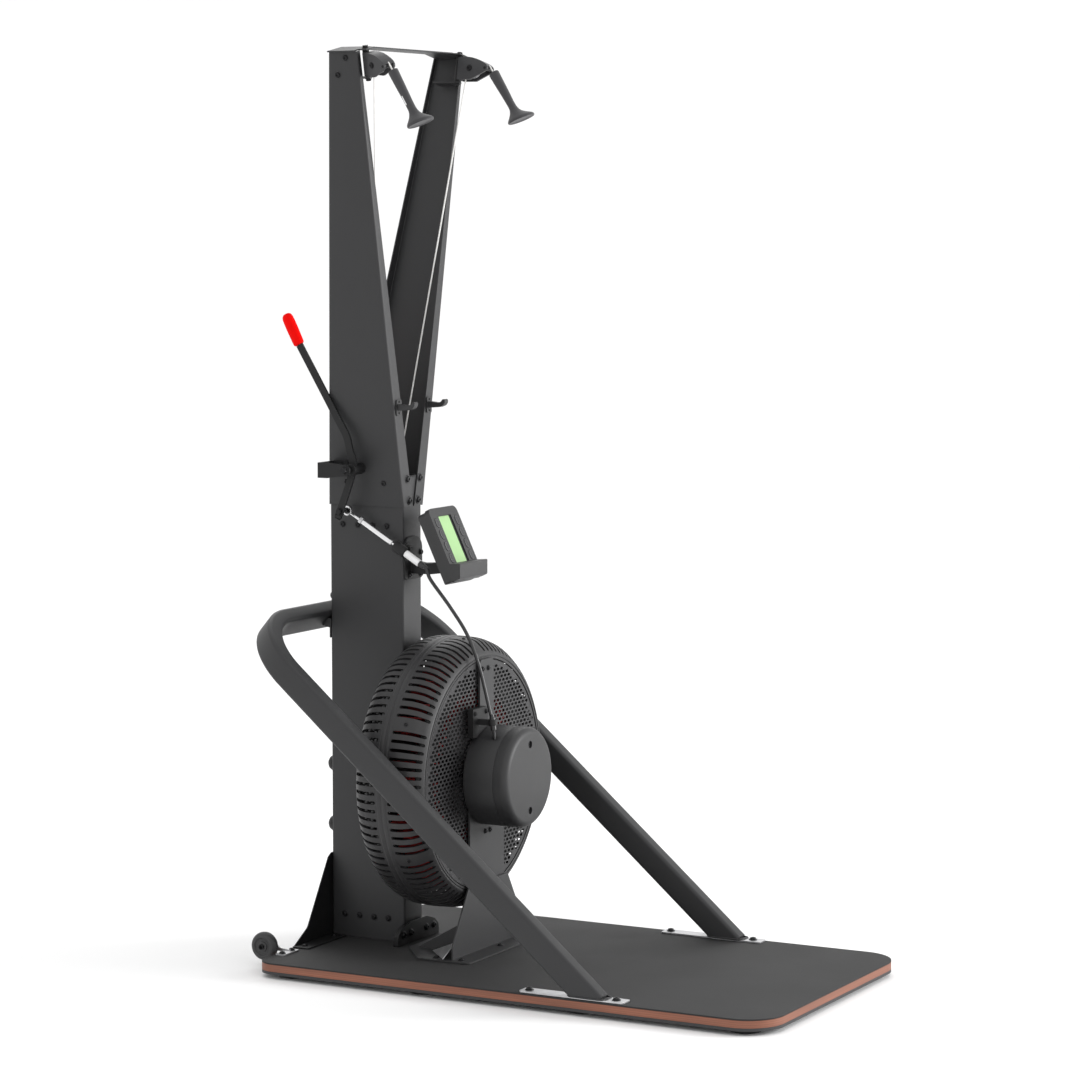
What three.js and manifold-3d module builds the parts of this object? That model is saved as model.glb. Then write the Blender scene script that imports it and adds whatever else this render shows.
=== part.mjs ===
// Standing cord-pull fan trainer: wooden-edged platform, steel column, two splayed channel arms with
// swivelling pulley heads and pull handles, an air flywheel in a slotted guard, a brake lever with its
// rod and cable, a console on an arm and a bent tube brace.
//
// Units are millimetres and +Z is up. +X points towards the person standing on the platform, and -Y is
// the side that carries the brake lever. Inside the model, lengths are measured from the platform's
// front edge (x = 0) and from the platform's underside (z = 0); the outer group then moves everything
// so that the origin is on the floor under the middle of the whole machine.
import * as THREE from 'three';
import { mergeVertices } from 'three/addons/utils/BufferGeometryUtils.js';
import Module from 'manifold-3d';

const wasm = await Module();
wasm.setup();

// ---------------------------------------------------------------- driving dimensions
const PLATFORM_LENGTH = 1290;
const PLATFORM_WIDTH = 760;
const PLATFORM_CORNER = 90;
const PLATFORM_BACK_CORNER = 45;
const SKIN_BOTTOM = 7;
const CORE_TOP = 23.4;
const PLATFORM_TOP = 27;
const FOOT_HEIGHT = 10;
const FOOT_RADIUS = 38;
const FOOT_X = [-78, -470, -875, -1220];
const FOOT_Y = 320;

const COLUMN_BACK = -1287;
const COLUMN_FRONT = -1088;
const COLUMN_HALF = 42.5;
const COLUMN_TOP = 1127;
const COLUMN_WALL = 3;

const ARM_BOTTOM = 1055;
const ARM_TOP = 2096;
const ARM_SHEET = 3;
const ARM_FRONT = -1084.6;
const ARM_SPLAY = 0.1915;
const ARM_BACK_SLOPE = 0.12302;
const SPLAY_ANGLE = Math.atan(ARM_SPLAY);

const PIN_X = -1080;
const PIN_Y = 209.6;
const PIN_Z = 2072;
const SWING_NEAR = THREE.MathUtils.degToRad(-25);
const SWING_FAR = THREE.MathUtils.degToRad(-4);

const FAN_Z = 438;
const FAN_BACK = -1080;
const FAN_FRONT = -897;
const GUARD_RADIUS = 316;
const GUARD_WALL = 4;
const GRILLE_RADIUS = 266;
const ROTOR_RADIUS = 276;
const HUB_RADIUS = 117;
const HUB_BACK = -889;
const HUB_SEAM = -811.5;
const HUB_FRONT = -775;
const VENTS = 36;

const BRACE_ANGLE = THREE.MathUtils.degToRad(40.65);
const BRACE_DEPTH = 60;
const BRACE_WIDTH = 40;
const BRACE_OUTER = 376;
const BRACE_FOOT_X = -483;
const BRACE_BEND = 150;
const BRACE_REACH = 1147.5;

const PIVOT_X = -1188.5;
const PIVOT_Z = 1143.5;
const LEVER_Y = -100;
const ROD_Y = -66;

const WHEEL_X = -1326;
const WHEEL_Y = 279;
const WHEEL_Z = 40;
const WHEEL_RADIUS = 33;

// The lever's grip reaches furthest back and the platform's front edge furthest forward.
const REAR_REACH = -1377.4;
const FRAME_X = -REAR_REACH / 2;
const GAP = 0.3;

// ---------------------------------------------------------------- materials
function paint(hex, roughness, metalness) {
  return new THREE.MeshStandardMaterial({ color: hex, roughness, metalness });
}
const CHARCOAL = 0x3c3c3f;
const BLACK = 0x18181a;

// ---------------------------------------------------------------- solid helpers
function toSolid(geometry) {
  const g = geometry.clone();
  g.deleteAttribute('normal');
  g.deleteAttribute('uv');
  const m = mergeVertices(g, 1e-4);
  const index = m.index.array;
  const keep = [];
  for (let i = 0; i < index.length; i += 3) {
    const [a, b, c] = [index[i], index[i + 1], index[i + 2]];
    if (a !== b && b !== c && a !== c) keep.push(a, b, c);
  }
  return new wasm.Manifold(new wasm.Mesh({
    numProp: 3,
    vertProperties: new Float32Array(m.attributes.position.array),
    triVerts: new Uint32Array(keep),
  }));
}

function toGeometry(solid) {
  const mesh = solid.getMesh();
  const g = new THREE.BufferGeometry();
  g.setAttribute('position', new THREE.BufferAttribute(new Float32Array(mesh.vertProperties), 3));
  g.setIndex(new THREE.BufferAttribute(new Uint32Array(mesh.triVerts), 1));
  return g;
}

function placed(geometry, x, y, z, rx = 0, ry = 0, rz = 0) {
  const g = geometry.clone();
  g.applyMatrix4(new THREE.Matrix4().makeRotationFromEuler(new THREE.Euler(rx, ry, rz)));
  g.translate(x, y, z);
  return g;
}

function box(x0, x1, y0, y1, z0, z1) {
  return placed(new THREE.BoxGeometry(x1 - x0, y1 - y0, z1 - z0), (x0 + x1) / 2, (y0 + y1) / 2, (z0 + z1) / 2);
}

// Cylinder between two heights along one of the axes.
function rod(axis, radius, from, to, a, b, segments = 20) {
  const g = new THREE.CylinderGeometry(radius, radius, to - from, segments);
  const mid = (from + to) / 2;
  if (axis === 'x') return placed(g, mid, a, b, 0, 0, -Math.PI / 2);
  if (axis === 'y') return placed(g, a, mid, b);
  return placed(g, a, b, mid, Math.PI / 2, 0, 0);
}

// Cylinder between two points.
function strut(p, q, radius, segments = 12) {
  const dir = new THREE.Vector3().subVectors(q, p);
  const g = new THREE.CylinderGeometry(radius, radius, dir.length(), segments);
  g.applyQuaternion(new THREE.Quaternion().setFromUnitVectors(new THREE.Vector3(0, 1, 0), dir.normalize()));
  g.translate((p.x + q.x) / 2, (p.y + q.y) / 2, (p.z + q.z) / 2);
  return g;
}

function outline(points) {
  const s = new THREE.Shape();
  s.moveTo(points[0][0], points[0][1]);
  for (const [a, b] of points.slice(1)) s.lineTo(a, b);
  s.closePath();
  return s;
}

function slab(shape, depth, curveSegments = 6) {
  return new THREE.ExtrudeGeometry(shape, { depth, bevelEnabled: false, curveSegments });
}

// Flat plate drawn in x-z and thickened along y from y0 to y1.
function plateXZ(points, y0, y1) {
  const g = slab(outline(points), y1 - y0);
  return placed(g, 0, y1, 0, Math.PI / 2, 0, 0);
}

// Flat plate drawn in y-z and thickened along x from x0 to x1.
function plateYZ(points, x0, x1) {
  const g = slab(outline(points), x1 - x0);
  g.applyMatrix4(new THREE.Matrix4().set(0, 0, 1, 0, 1, 0, 0, 0, 0, 1, 0, 0, 0, 0, 0, 1));
  g.translate(x0, 0, 0);
  return g;
}

// Flat plate drawn in x-y and thickened along z from z0 to z1.
function plateXY(points, z0, z1) {
  return placed(slab(outline(points), z1 - z0), 0, 0, z0);
}

function roundedRect(x0, x1, y0, y1, r, rb = r) {
  const s = new THREE.Shape();
  s.moveTo(x0 + rb, y0);
  s.lineTo(x1 - r, y0);
  s.absarc(x1 - r, y0 + r, r, -Math.PI / 2, 0, false);
  s.lineTo(x1, y1 - r);
  s.absarc(x1 - r, y1 - r, r, 0, Math.PI / 2, false);
  s.lineTo(x0 + rb, y1);
  s.absarc(x0 + rb, y1 - rb, rb, Math.PI / 2, Math.PI, false);
  s.lineTo(x0, y0 + rb);
  s.absarc(x0 + rb, y0 + rb, rb, Math.PI, Math.PI * 1.5, false);
  return s;
}

// Closed skin over equal rings of points, capped flat at both ends.
function loft(rings) {
  const n = rings[0].length;
  const position = [];
  for (const ring of rings) for (const p of ring) position.push(p[0], p[1], p[2]);
  const index = [];
  for (let k = 0; k < rings.length - 1; k += 1) {
    for (let i = 0; i < n; i += 1) {
      const j = (i + 1) % n;
      const a = k * n + i;
      const b = k * n + j;
      index.push(a, b, b + n, a, b + n, a + n);
    }
  }
  const last = (rings.length - 1) * n;
  for (let i = 1; i < n - 1; i += 1) {
    index.push(0, i + 1, i);
    index.push(last, last + i, last + i + 1);
  }
  const g = new THREE.BufferGeometry();
  g.setAttribute('position', new THREE.BufferAttribute(new Float32Array(position), 3));
  g.setIndex(index);
  return g;
}

// The same skin turned right side out whichever way its rings run.
function loftSolid(rings) {
  const g = loft(rings);
  const p = g.attributes.position;
  const index = g.index.array;
  let volume = 0;
  const [a, b, c] = [new THREE.Vector3(), new THREE.Vector3(), new THREE.Vector3()];
  for (let i = 0; i < index.length; i += 3) {
    a.fromBufferAttribute(p, index[i]);
    b.fromBufferAttribute(p, index[i + 1]);
    c.fromBufferAttribute(p, index[i + 2]);
    volume += a.dot(b.clone().cross(c));
  }
  if (volume < 0) {
    for (let i = 0; i < index.length; i += 3) [index[i + 1], index[i + 2]] = [index[i + 2], index[i + 1]];
  }
  return toSolid(g);
}

function join(...geometries) {
  return geometries.map((g) => (g.isBufferGeometry ? toSolid(g) : g)).reduce((a, b) => a.add(b));
}

function cut(solid, ...geometries) {
  return geometries.map((g) => (g.isBufferGeometry ? toSolid(g) : g)).reduce((a, b) => a.subtract(b), solid);
}

const group = new THREE.Group();
group.position.set(FRAME_X, 0, FOOT_HEIGHT);

function add(name, shape, material, parent = group) {
  const geometry = shape.isBufferGeometry ? toGeometry(toSolid(shape)) : toGeometry(shape);
  const mesh = new THREE.Mesh(geometry, material);
  mesh.name = name;
  parent.add(mesh);
  return mesh;
}

// ---------------------------------------------------------------- platform
const platformShape = roundedRect(-PLATFORM_LENGTH, 0, -PLATFORM_WIDTH / 2, PLATFORM_WIDTH / 2, PLATFORM_CORNER,
  PLATFORM_BACK_CORNER);

// Outline of a bar that follows a polyline with a constant width.
function strip(points, half) {
  const left = [];
  const right = [];
  points.forEach(([x, z], i) => {
    const a = new THREE.Vector2(...points[Math.max(i - 1, 0)]);
    const b = new THREE.Vector2(...points[Math.min(i + 1, points.length - 1)]);
    const n = b.sub(a).normalize();
    left.push([x - n.y * half, z + n.x * half]);
    right.unshift([x + n.y * half, z - n.x * half]);
  });
  return left.concat(right);
}

function platform() {
  add('platform_bottom', slab(platformShape, SKIN_BOTTOM - 0.2, 6), paint(0x2b2b2d, 0.8, 0));
  add('platform_core', placed(slab(platformShape, CORE_TOP - SKIN_BOTTOM, 6), 0, 0, SKIN_BOTTOM),
    paint(0x8a4a30, 0.6, 0));
  add('platform_top', placed(slab(platformShape, PLATFORM_TOP - CORE_TOP - 0.2, 6), 0, 0, CORE_TOP + 0.2),
    paint(0x3a3a3c, 0.85, 0));
  for (const [side, sign] of [['near', -1], ['far', 1]]) {
    FOOT_X.forEach((x, i) => {
      const foot = rod('z', FOOT_RADIUS, -FOOT_HEIGHT, -0.2, x, sign * FOOT_Y, 16);
      add(`foot_${side}_${i + 1}`, foot, paint(BLACK, 0.9, 0));
    });
  }
}

// ---------------------------------------------------------------- column and its feet
function column() {
  const w = COLUMN_WALL;
  const outer = roundedRect(COLUMN_BACK, COLUMN_FRONT, -COLUMN_HALF, COLUMN_HALF, 5);
  outer.holes.push(roundedRect(COLUMN_BACK + w, COLUMN_FRONT - w, -COLUMN_HALF + w, COLUMN_HALF - w, 2));
  const z0 = PLATFORM_TOP + GAP;
  const tube = placed(slab(outer, COLUMN_TOP - z0, 2), 0, 0, z0);
  const shaftHole = rod('x', 22, COLUMN_FRONT - 12, COLUMN_FRONT + 6, 0, FAN_Z, 20);
  add('column', cut(toSolid(tube), shaftHole), paint(CHARCOAL, 0.5, 0.3));

  // Rear foot: an upright trapezoid sheet behind the column on a flange that lies on the platform.
  const back = COLUMN_BACK - GAP;
  const upright = plateYZ([
    [-216, PLATFORM_TOP + GAP], [216, PLATFORM_TOP + GAP], [152, 64], [58, 216], [44, 225],
    [-44, 225], [-58, 216], [-152, 64],
  ], back - 2.6, back);
  const flangeNear = box(back - 2.6, -1246, -216, -COLUMN_HALF - 1, PLATFORM_TOP + GAP, PLATFORM_TOP + 3.3);
  const flangeFar = box(back - 2.6, -1246, COLUMN_HALF + 1, 216, PLATFORM_TOP + GAP, PLATFORM_TOP + 3.3);
  add('column_foot_rear', join(upright, flangeNear, flangeFar), paint(CHARCOAL, 0.5, 0.3));

  // Front foot: an angle whose tall leg stands just ahead of the column's front face.
  const front = COLUMN_FRONT + GAP;
  const tall = plateYZ([
    [-96, PLATFORM_TOP + GAP], [96, PLATFORM_TOP + GAP], [96, 50], [78, 66], [40, 78], [-40, 78], [-78, 66], [-96, 50],
  ], front + 9, front + 13);
  const low = box(front, front + 12, -96, 96, PLATFORM_TOP + GAP, PLATFORM_TOP + 4.3);
  add('column_foot_front', join(tall, low), paint(BLACK, 0.55, 0.3));
}

// ---------------------------------------------------------------- splayed channel arms
function armOuter(z) {
  return 46 + ARM_SPLAY * (z - 1055);
}
function armInner(z) {
  return 3 + 0.2205 * (z - 1055);
}
function armBack(z) {
  return -1418.4 + ARM_BACK_SLOPE * z;
}

// Height of the top plate's sloping underside at one distance from the middle.
function plateUnderside(y) {
  const [edgeY, edgeZ] = plateEdge(36, 32.5);
  return edgeZ + (edgeY - y) * Math.tan(SPLAY_ANGLE);
}
function plateEdge(o, h) {
  const c = Math.cos(SPLAY_ANGLE);
  const s = Math.sin(SPLAY_ANGLE);
  return [PIN_Y + o * c + h * s, PIN_Z - o * s + h * c];
}

function arm(name, sign) {
  const z0 = ARM_BOTTOM;
  const zs = COLUMN_TOP + 2;
  const z1 = ARM_TOP;
  const t = ARM_SHEET;
  const ty = t / Math.cos(SPLAY_ANGLE);
  const level = (z, y) => (z === z1 ? plateUnderside(y) - GAP : z);
  const quad = (z, x0, x1, y0, y1) => [
    [x0, sign * y0, level(z, y0)], [x1, sign * y0, level(z, y0)],
    [x1, sign * y1, level(z, y1)], [x0, sign * y1, level(z, y1)],
  ];
  const web = loftSolid([z0, z1].map((z) => quad(z, armBack(z), ARM_FRONT, armOuter(z) - ty, armOuter(z))));
  const front = loftSolid([z0, z1].map((z) => quad(z, ARM_FRONT - t, ARM_FRONT, armInner(z), armOuter(z))));
  const rear = loftSolid([zs, z1].map((z) => quad(z, armBack(z), armBack(z) + t, armInner(z), armOuter(z))));
  add(name, web.add(front).add(rear), paint(CHARCOAL, 0.5, 0.3));
}

// Point in the tilted frame of one arm's head: forward, outboard and up along the swivel pin.
function headFrame(sign, swing = 0) {
  const g = new THREE.Group();
  g.position.set(PIN_X, sign * PIN_Y, PIN_Z);
  g.rotation.set(-sign * SPLAY_ANGLE, 0, swing);
  group.add(g);
  return g;
}

// Bent sheet across both arm tops, flat in the middle, with a lug and a hole for each swivel pin.
function topPlate() {
  const t = 3;
  const lowOut = plateEdge(36, 32.5);
  const highOut = plateEdge(36, 35.5);
  const lowIn = plateEdge(-27, 32.5);
  const highIn = plateEdge(-27, 35.5);
  const profile = [
    lowOut, highOut, highIn, [-highIn[0], highIn[1]], [-highOut[0], highOut[1]],
    [-lowOut[0], lowOut[1]], [-lowIn[0], highIn[1] - t], [lowIn[0], highIn[1] - t],
  ];
  const sheet = toSolid(plateYZ(profile, -1160, PIN_X + 12));
  const middle = box(-1086, -1040, -196, 196, 2000, 2200);
  const sideNear = box(-1086, -1040, -300, -232, 2000, 2200);
  const sideFar = box(-1086, -1040, 232, 300, 2000, 2200);
  const holes = [-1, 1].map((sign) => {
    const g = rod('z', 4.6, 10, 60, 0, 0, 16);
    return placed(placed(g, 0, 0, 0, -sign * SPLAY_ANGLE), PIN_X, sign * PIN_Y, PIN_Z);
  });
  add('top_plate', cut(sheet, middle, sideNear, sideFar, ...holes), paint(CHARCOAL, 0.5, 0.3));
}

// Lower swivel shelf: a sheet set across the channel with a lug for the pin.
function shelf(name, sign) {
  const frame = headFrame(sign);
  const o0 = -8;
  const o1 = 24.5;
  const sheet = slab(outline([
    [-62, sign * o0], [9, sign * o0], [9, sign * 9], [-8.8, sign * 12], [-8.8, sign * o1], [-62, sign * o1],
  ]), 3);
  const solid = sign > 0 ? toSolid(placed(sheet, 0, 0, -32.4)) : loftSolid([-32.4, -29.4].map((h) => [
    [-62, -o0, h], [9, -o0, h], [9, -9, h], [-8.8, -12, h], [-8.8, -o1, h], [-62, -o1, h]]));
  add(name, cut(solid, rod('z', 4.6, -50, -20, 0, 0, 16)), paint(CHARCOAL, 0.5, 0.3), frame);
}

// ---------------------------------------------------------------- pulley heads and pull handles
// Cheek outline: forward against up, with the swivel pin at zero.
const CHEEK = [
  [7, 27], [30, 27.5], [46, 25], [60, 21], [74, 15], [85, 9], [90.5, 2], [90, -4], [85, -9],
  [46, -27], [20, -26.5], [7, -26],
];
const AXLE_F = 40;
const SHEAVE_RADIUS = 21;

function pulleyHead(side, sign, swing) {
  const frame = headFrame(sign, swing);
  const body = toSolid(plateXZ(CHEEK, -15, 15));
  const hollow = plateXZ([
    [12, 21], [30, 22.5], [46, 20.5], [60, 17], [72, 12], [100, 10], [110, -60], [12, -60],
  ], -10, 10);
  const barrel = rod('z', 7.8, -28.6, 31.5, 0, 0, 16);
  const neck = box(0, 9, -6, 6, -26, 27);
  const pin = rod('z', 4, -40, 40, 0, 0, 12);
  const headTop = rod('z', 6.6, 36.2, 41.5, 0, 0, 12);
  const headLow = rod('z', 6, -40, -33, 0, 0, 12);
  const axleBore = rod('y', 3.9, -20, 20, AXLE_F, 0, 12);
  const solid = cut(join(body, barrel, neck), hollow, axleBore).add(join(pin, headTop, headLow));
  add(`pulley_head_${side}`, solid, paint(BLACK, 0.5, 0.2), frame);

  // Grooved sheave with its axle bolt.
  const profile = [
    [0, -8.5], [SHEAVE_RADIUS, -8.5], [SHEAVE_RADIUS, -6], [SHEAVE_RADIUS - 6, -1.5], [SHEAVE_RADIUS - 6, 1.5],
    [SHEAVE_RADIUS, 6], [SHEAVE_RADIUS, 8.5], [0, 8.5],
  ].map(([r, y]) => new THREE.Vector2(r, y));
  const sheave = placed(new THREE.LatheGeometry(profile, 20), AXLE_F, 0, 0);
  const axle = rod('y', 3.4, -16.5, 16.5, AXLE_F, 0, 12);
  add(`pulley_sheave_${side}`, join(sheave, axle), paint(0x6f7073, 0.4, 0.6), frame);

  // Pull handle: a tapering curved grip that flares into a pommel disc, canted and turned a little on its cord.
  const path = [
    [100.6, -12, 12.6, 11.5, 51], [106, -19, 12.4, 11.4, 52], [120, -38, 11.6, 10.8, 54], [138, -62, 10.4, 10, 56],
    [154, -84, 9.3, 9.6, 58], [164, -97, 9.8, 10.4, 62], [171, -106, 13.5, 15, 64], [178, -112, 20, 22, 66],
    [185.5, -118, 29, 29.5, 67], [188, -122, 31, 31, 67], [189.5, -124.5, 30, 30, 67],
  ];
  const ring = ([f, h, a, b, lean]) => {
    const tilt = THREE.MathUtils.degToRad(90 - lean);
    const flare = THREE.MathUtils.smoothstep(f, 160, 184) * (sign > 0 ? 0.3 : 0.05);
    const pts = [];
    for (let i = 0; i < 16; i += 1) {
      const q = (i / 16) * Math.PI * 2;
      const u = a * Math.cos(q);
      const o = b * Math.sin(q);
      pts.push([f + u * Math.cos(tilt), o, h + u * Math.sin(tilt) + flare * o]);
    }
    return pts;
  };
  add(`handle_${side}`, loftSolid(path.map(ring)), paint(0x303033, 0.75, 0), frame);
}

// Drive cord: down the arm from the pulley and on inside the column to the drum on the flywheel shaft.
const CORD_RADIUS = 2;
function cordPoint(z) {
  return [-1060 - 0.094 * (2043.5 - z), 198.6 - 0.181 * (2043.5 - z)];
}
function driveCord(side, sign, shift) {
  const [xa, ya] = cordPoint(2036);
  const [x1, yb] = cordPoint(1130);
  const xb = x1 - shift;
  const points = [
    [xa, ya, 2036], [xb, yb, 1130], [xb - 4, 23, 700], [xb - 4, 23, FAN_Z],
  ].map(([x, y, z]) => new THREE.Vector3(x, sign * y, z));
  const rings = points.map((p, k) => {
    const dir = new THREE.Vector3().subVectors(points[Math.min(k + 1, 3)], points[Math.max(k - 1, 0)]).normalize();
    const u = new THREE.Vector3(1, 0, 0).addScaledVector(dir, -dir.x).normalize();
    const v = new THREE.Vector3().crossVectors(dir, u);
    const pts = [];
    for (let i = 0; i < 6; i += 1) {
      const q = (i / 6) * Math.PI * 2;
      const w = p.clone().addScaledVector(u, CORD_RADIUS * Math.cos(q)).addScaledVector(v, CORD_RADIUS * Math.sin(q));
      pts.push(w.toArray());
    }
    return pts;
  });
  add(`drive_cord_${side}`, loftSolid(rings), paint(0xe8e6e2, 0.8, 0));
}

// Handle rest on the arm's front sheet: a small plate and a finger that curls up at its tip.
function hook(name, sign) {
  const x0 = ARM_FRONT + GAP;
  const y = sign * 70;
  const plate = box(x0, x0 + 3, y - 11, y + 11, 1270, 1307);
  const finger = plateXZ([
    [x0, 1282], [x0 + 34, 1284], [x0 + 46, 1290], [x0 + 49, 1300], [x0 + 44, 1303], [x0 + 38, 1297], [x0 + 30, 1294],
    [x0, 1297],
  ], y - 8, y + 8);
  add(name, join(plate, finger), paint(BLACK, 0.7, 0));
}

// ---------------------------------------------------------------- bent tube brace
function bracePoint(along, up, y) {
  const c = Math.cos(BRACE_ANGLE);
  const s = Math.sin(BRACE_ANGLE);
  const z0 = PLATFORM_TOP + 4.6;
  return [BRACE_FOOT_X - along * c + up * s, y, z0 + along * s + up * c];
}

function brace() {
  // The tube runs in one tilted plane: up one leg, round a bend, across behind the column and down.
  const half = BRACE_WIDTH / 2;
  const yc = BRACE_OUTER - half;
  const bend = BRACE_BEND;
  const far = BRACE_REACH - half;
  const corner = 8;
  const centre = [];
  const straight = far - bend;
  centre.push([-60, -yc, 0, 1]);
  centre.push([straight, -yc, 0, 1]);
  for (let i = 1; i < 8; i += 1) {
    const q = (i / 8) * Math.PI / 2;
    centre.push([straight + bend * Math.sin(q), -yc + bend * (1 - Math.cos(q)), Math.sin(q), Math.cos(q)]);
  }
  centre.push([far, -yc + bend, 1, 0]);
  const mirrored = centre.slice().reverse().map(([a, y, s, c]) => [a, -y, s, -c]);
  const section = [];
  const d = BRACE_DEPTH;
  const corners = [[half, d, 0], [-half, d, 1], [-half, 0, 2], [half, 0, 3]];
  for (const [w, u, k] of corners) {
    for (let i = 0; i <= 2; i += 1) {
      const q = (k * Math.PI) / 2 + (i / 2) * Math.PI / 2;
      const cw = w - Math.sign(w) * corner;
      const cu = u === 0 ? corner : d - corner;
      section.push([cw + corner * Math.cos(q), cu + corner * Math.sin(q)]);
    }
  }
  const rings = centre.concat(mirrored).map(([a, y, s, c]) => section.map(([w, u]) => (
    bracePoint(a - w * s * 1, u, y + w * c)
  )));
  const tube = loftSolid(rings);
  const below = box(-1000, 200, -500, 500, -300, PLATFORM_TOP + 4.6);
  add('brace', cut(tube, below), paint(CHARCOAL, 0.5, 0.3));

  for (const [side, sign] of [['near', -1], ['far', 1]]) {
    const y = sign * (BRACE_OUTER - half);
    const x0 = -604;
    const x1 = -345;
    const plate = plateXY([
      [x0, y + sign * 19], [x0, y - sign * 19], [x1, y - sign * 19], [x1, y + sign * 19],
    ].slice()[sign > 0 ? 'reverse' : 'slice'](), PLATFORM_TOP + GAP, PLATFORM_TOP + 4.2);
    add(`brace_foot_${side}`, plate, paint(0x9a9a9c, 0.35, 0.8));
  }

  // Wedge block that joins the cross tube to the column's back, with a bolt flange below.
  const back = COLUMN_BACK - GAP;
  const innerLow = bracePoint(BRACE_REACH - BRACE_WIDTH, 0, 0);
  const innerHigh = bracePoint(BRACE_REACH - BRACE_WIDTH, BRACE_DEPTH, 0);
  const slope = (innerHigh[0] - innerLow[0]) / (innerHigh[2] - innerLow[2]);
  const faceX = (z) => innerLow[0] + slope * (z - innerLow[2]) + 0.5;
  const wedge = plateXZ([
    [back, 738], [back, 784], [faceX(784), 784], [faceX(766), 766], [back - 4, 762], [back - 4, 738],
  ], -41, 41);
  add('brace_mount', wedge, paint(CHARCOAL, 0.5, 0.3));
}

// Lower end of the brake cable, where it drops into the hub, and the line it follows there.
const CABLE_LOW = new THREE.Vector3(-830.5, ROD_Y, 522);
const CABLE_END = new THREE.Vector3(6.5, 0, -45).normalize();

// ---------------------------------------------------------------- fan, guard and hub
function fan() {
  // Guard: a drum with rounded shoulders, open in front for the grille and behind for the column.
  const r = GUARD_RADIUS;
  const w = GUARD_WALL;
  const b = FAN_BACK;
  const f = FAN_FRONT;
  const shell = [
    [150, b], [262, b], [290, b + 9], [308, b + 28], [r, b + 52], [r, f - 52], [308, f - 27], [290, f - 8],
    [280, f], [GRILLE_RADIUS + 2, f], [GRILLE_RADIUS + 2, f - w], [280, f - w - 1], [r - w - 1, f - 48],
    [r - w - 1, b + 52], [276, b + w + 2], [150, b + w],
  ].map(([rad, x]) => new THREE.Vector2(rad, x));
  shell.push(shell[0].clone());
  const drum = new THREE.LatheGeometry(shell, VENTS);
  // The profile's height runs along +X once the lathe's axis is turned from Y to X.
  const turned = placed(drum, 0, 0, FAN_Z, 0, 0, -Math.PI / 2);
  const vents = [];
  for (let i = 0; i < VENTS; i += 1) {
    const q = ((i + 0.5) / VENTS) * Math.PI * 2;
    for (const [x0, x1] of [[b + 54, b + 80], [b + 103, f - 54]]) {
      const g = box(x0, x1, -8, 8, r - 16, r + 10);
      g.applyMatrix4(new THREE.Matrix4().makeRotationX(q));
      g.translate(0, 0, FAN_Z);
      vents.push(g);
    }
  }
  add('fan_guard', cut(loftFix(turned), ...vents), paint(0x2e2d30, 0.55, 0.1));

  // Front grille: a flat ring of sheet with round holes.
  const ringShape = new THREE.Shape();
  for (let i = 0; i < 48; i += 1) {
    const q = (i / 48) * Math.PI * 2;
    const at = [GRILLE_RADIUS * Math.cos(q), GRILLE_RADIUS * Math.sin(q)];
    if (i === 0) ringShape.moveTo(...at);
    else ringShape.lineTo(...at);
  }
  ringShape.closePath();
  const inner = new THREE.Path();
  for (let i = 0; i < 16; i += 1) {
    const q = (-i / 16) * Math.PI * 2;
    const at = [60 * Math.cos(q), 60 * Math.sin(q)];
    if (i === 0) inner.moveTo(...at);
    else inner.lineTo(...at);
  }
  inner.closePath();
  ringShape.holes.push(inner);
  for (let k = 0; k < 2; k += 1) {
    for (let i = 0; i < 14; i += 1) {
      const q = ((i + k * 0.5) / 14) * Math.PI * 2;
      const radius = 165 + k * 50;
      const hole = new THREE.Path();
      hole.absarc(radius * Math.cos(q), radius * Math.sin(q), 14, 0, Math.PI * 2, true);
      ringShape.holes.push(hole);
    }
  }
  const sheet = slab(ringShape, 2, 3);
  const fine = placed(sheet, f - 3.4, 0, FAN_Z, 0, Math.PI / 2, 0);
  add('fan_grille', fine, paint(0x38373a, 0.5, 0.3));

  // Air flywheel: straight blades between a back disc and a front ring.
  const disc = rod('x', ROTOR_RADIUS - 2, -1000, -995, 0, FAN_Z, 36);
  const ring = cut(toSolid(rod('x', ROTOR_RADIUS - 2, -925, -921, 0, FAN_Z, 36)), rod('x', 196, -930, -915, 0, FAN_Z, 36));
  const boss = rod('x', 40, -1030, -960, 0, FAN_Z, 16);
  const bore = rod('x', 12.6, -1040, -950, 0, FAN_Z, 16);
  const blades = [];
  for (let i = 0; i < 24; i += 1) {
    const q = (i / 24) * Math.PI * 2;
    const g = box(-998, -922, -1.5, 1.5, 160, ROTOR_RADIUS);
    g.applyMatrix4(new THREE.Matrix4().makeRotationX(q));
    g.translate(0, 0, FAN_Z);
    blades.push(g);
  }
  add('fan_rotor', cut(join(disc, boss, ...blades).add(ring), bore), paint(0x7c1f1f, 0.45, 0.1));

  // Shaft from the hub through the column's front wall, with the cord drum inside the column.
  const shaft = rod('x', 12, -1178, -900, 0, FAN_Z, 16);
  const drumBody = rod('x', 20, -1172, -1126, 0, FAN_Z, 16);
  const lip = rod('x', 26, -1178, -1172, 0, FAN_Z, 16);
  const lip2 = rod('x', 26, -1126, -1120, 0, FAN_Z, 16);
  add('drive_shaft', join(shaft, drumBody, lip, lip2), paint(0x77777a, 0.35, 0.9));
}

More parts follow.
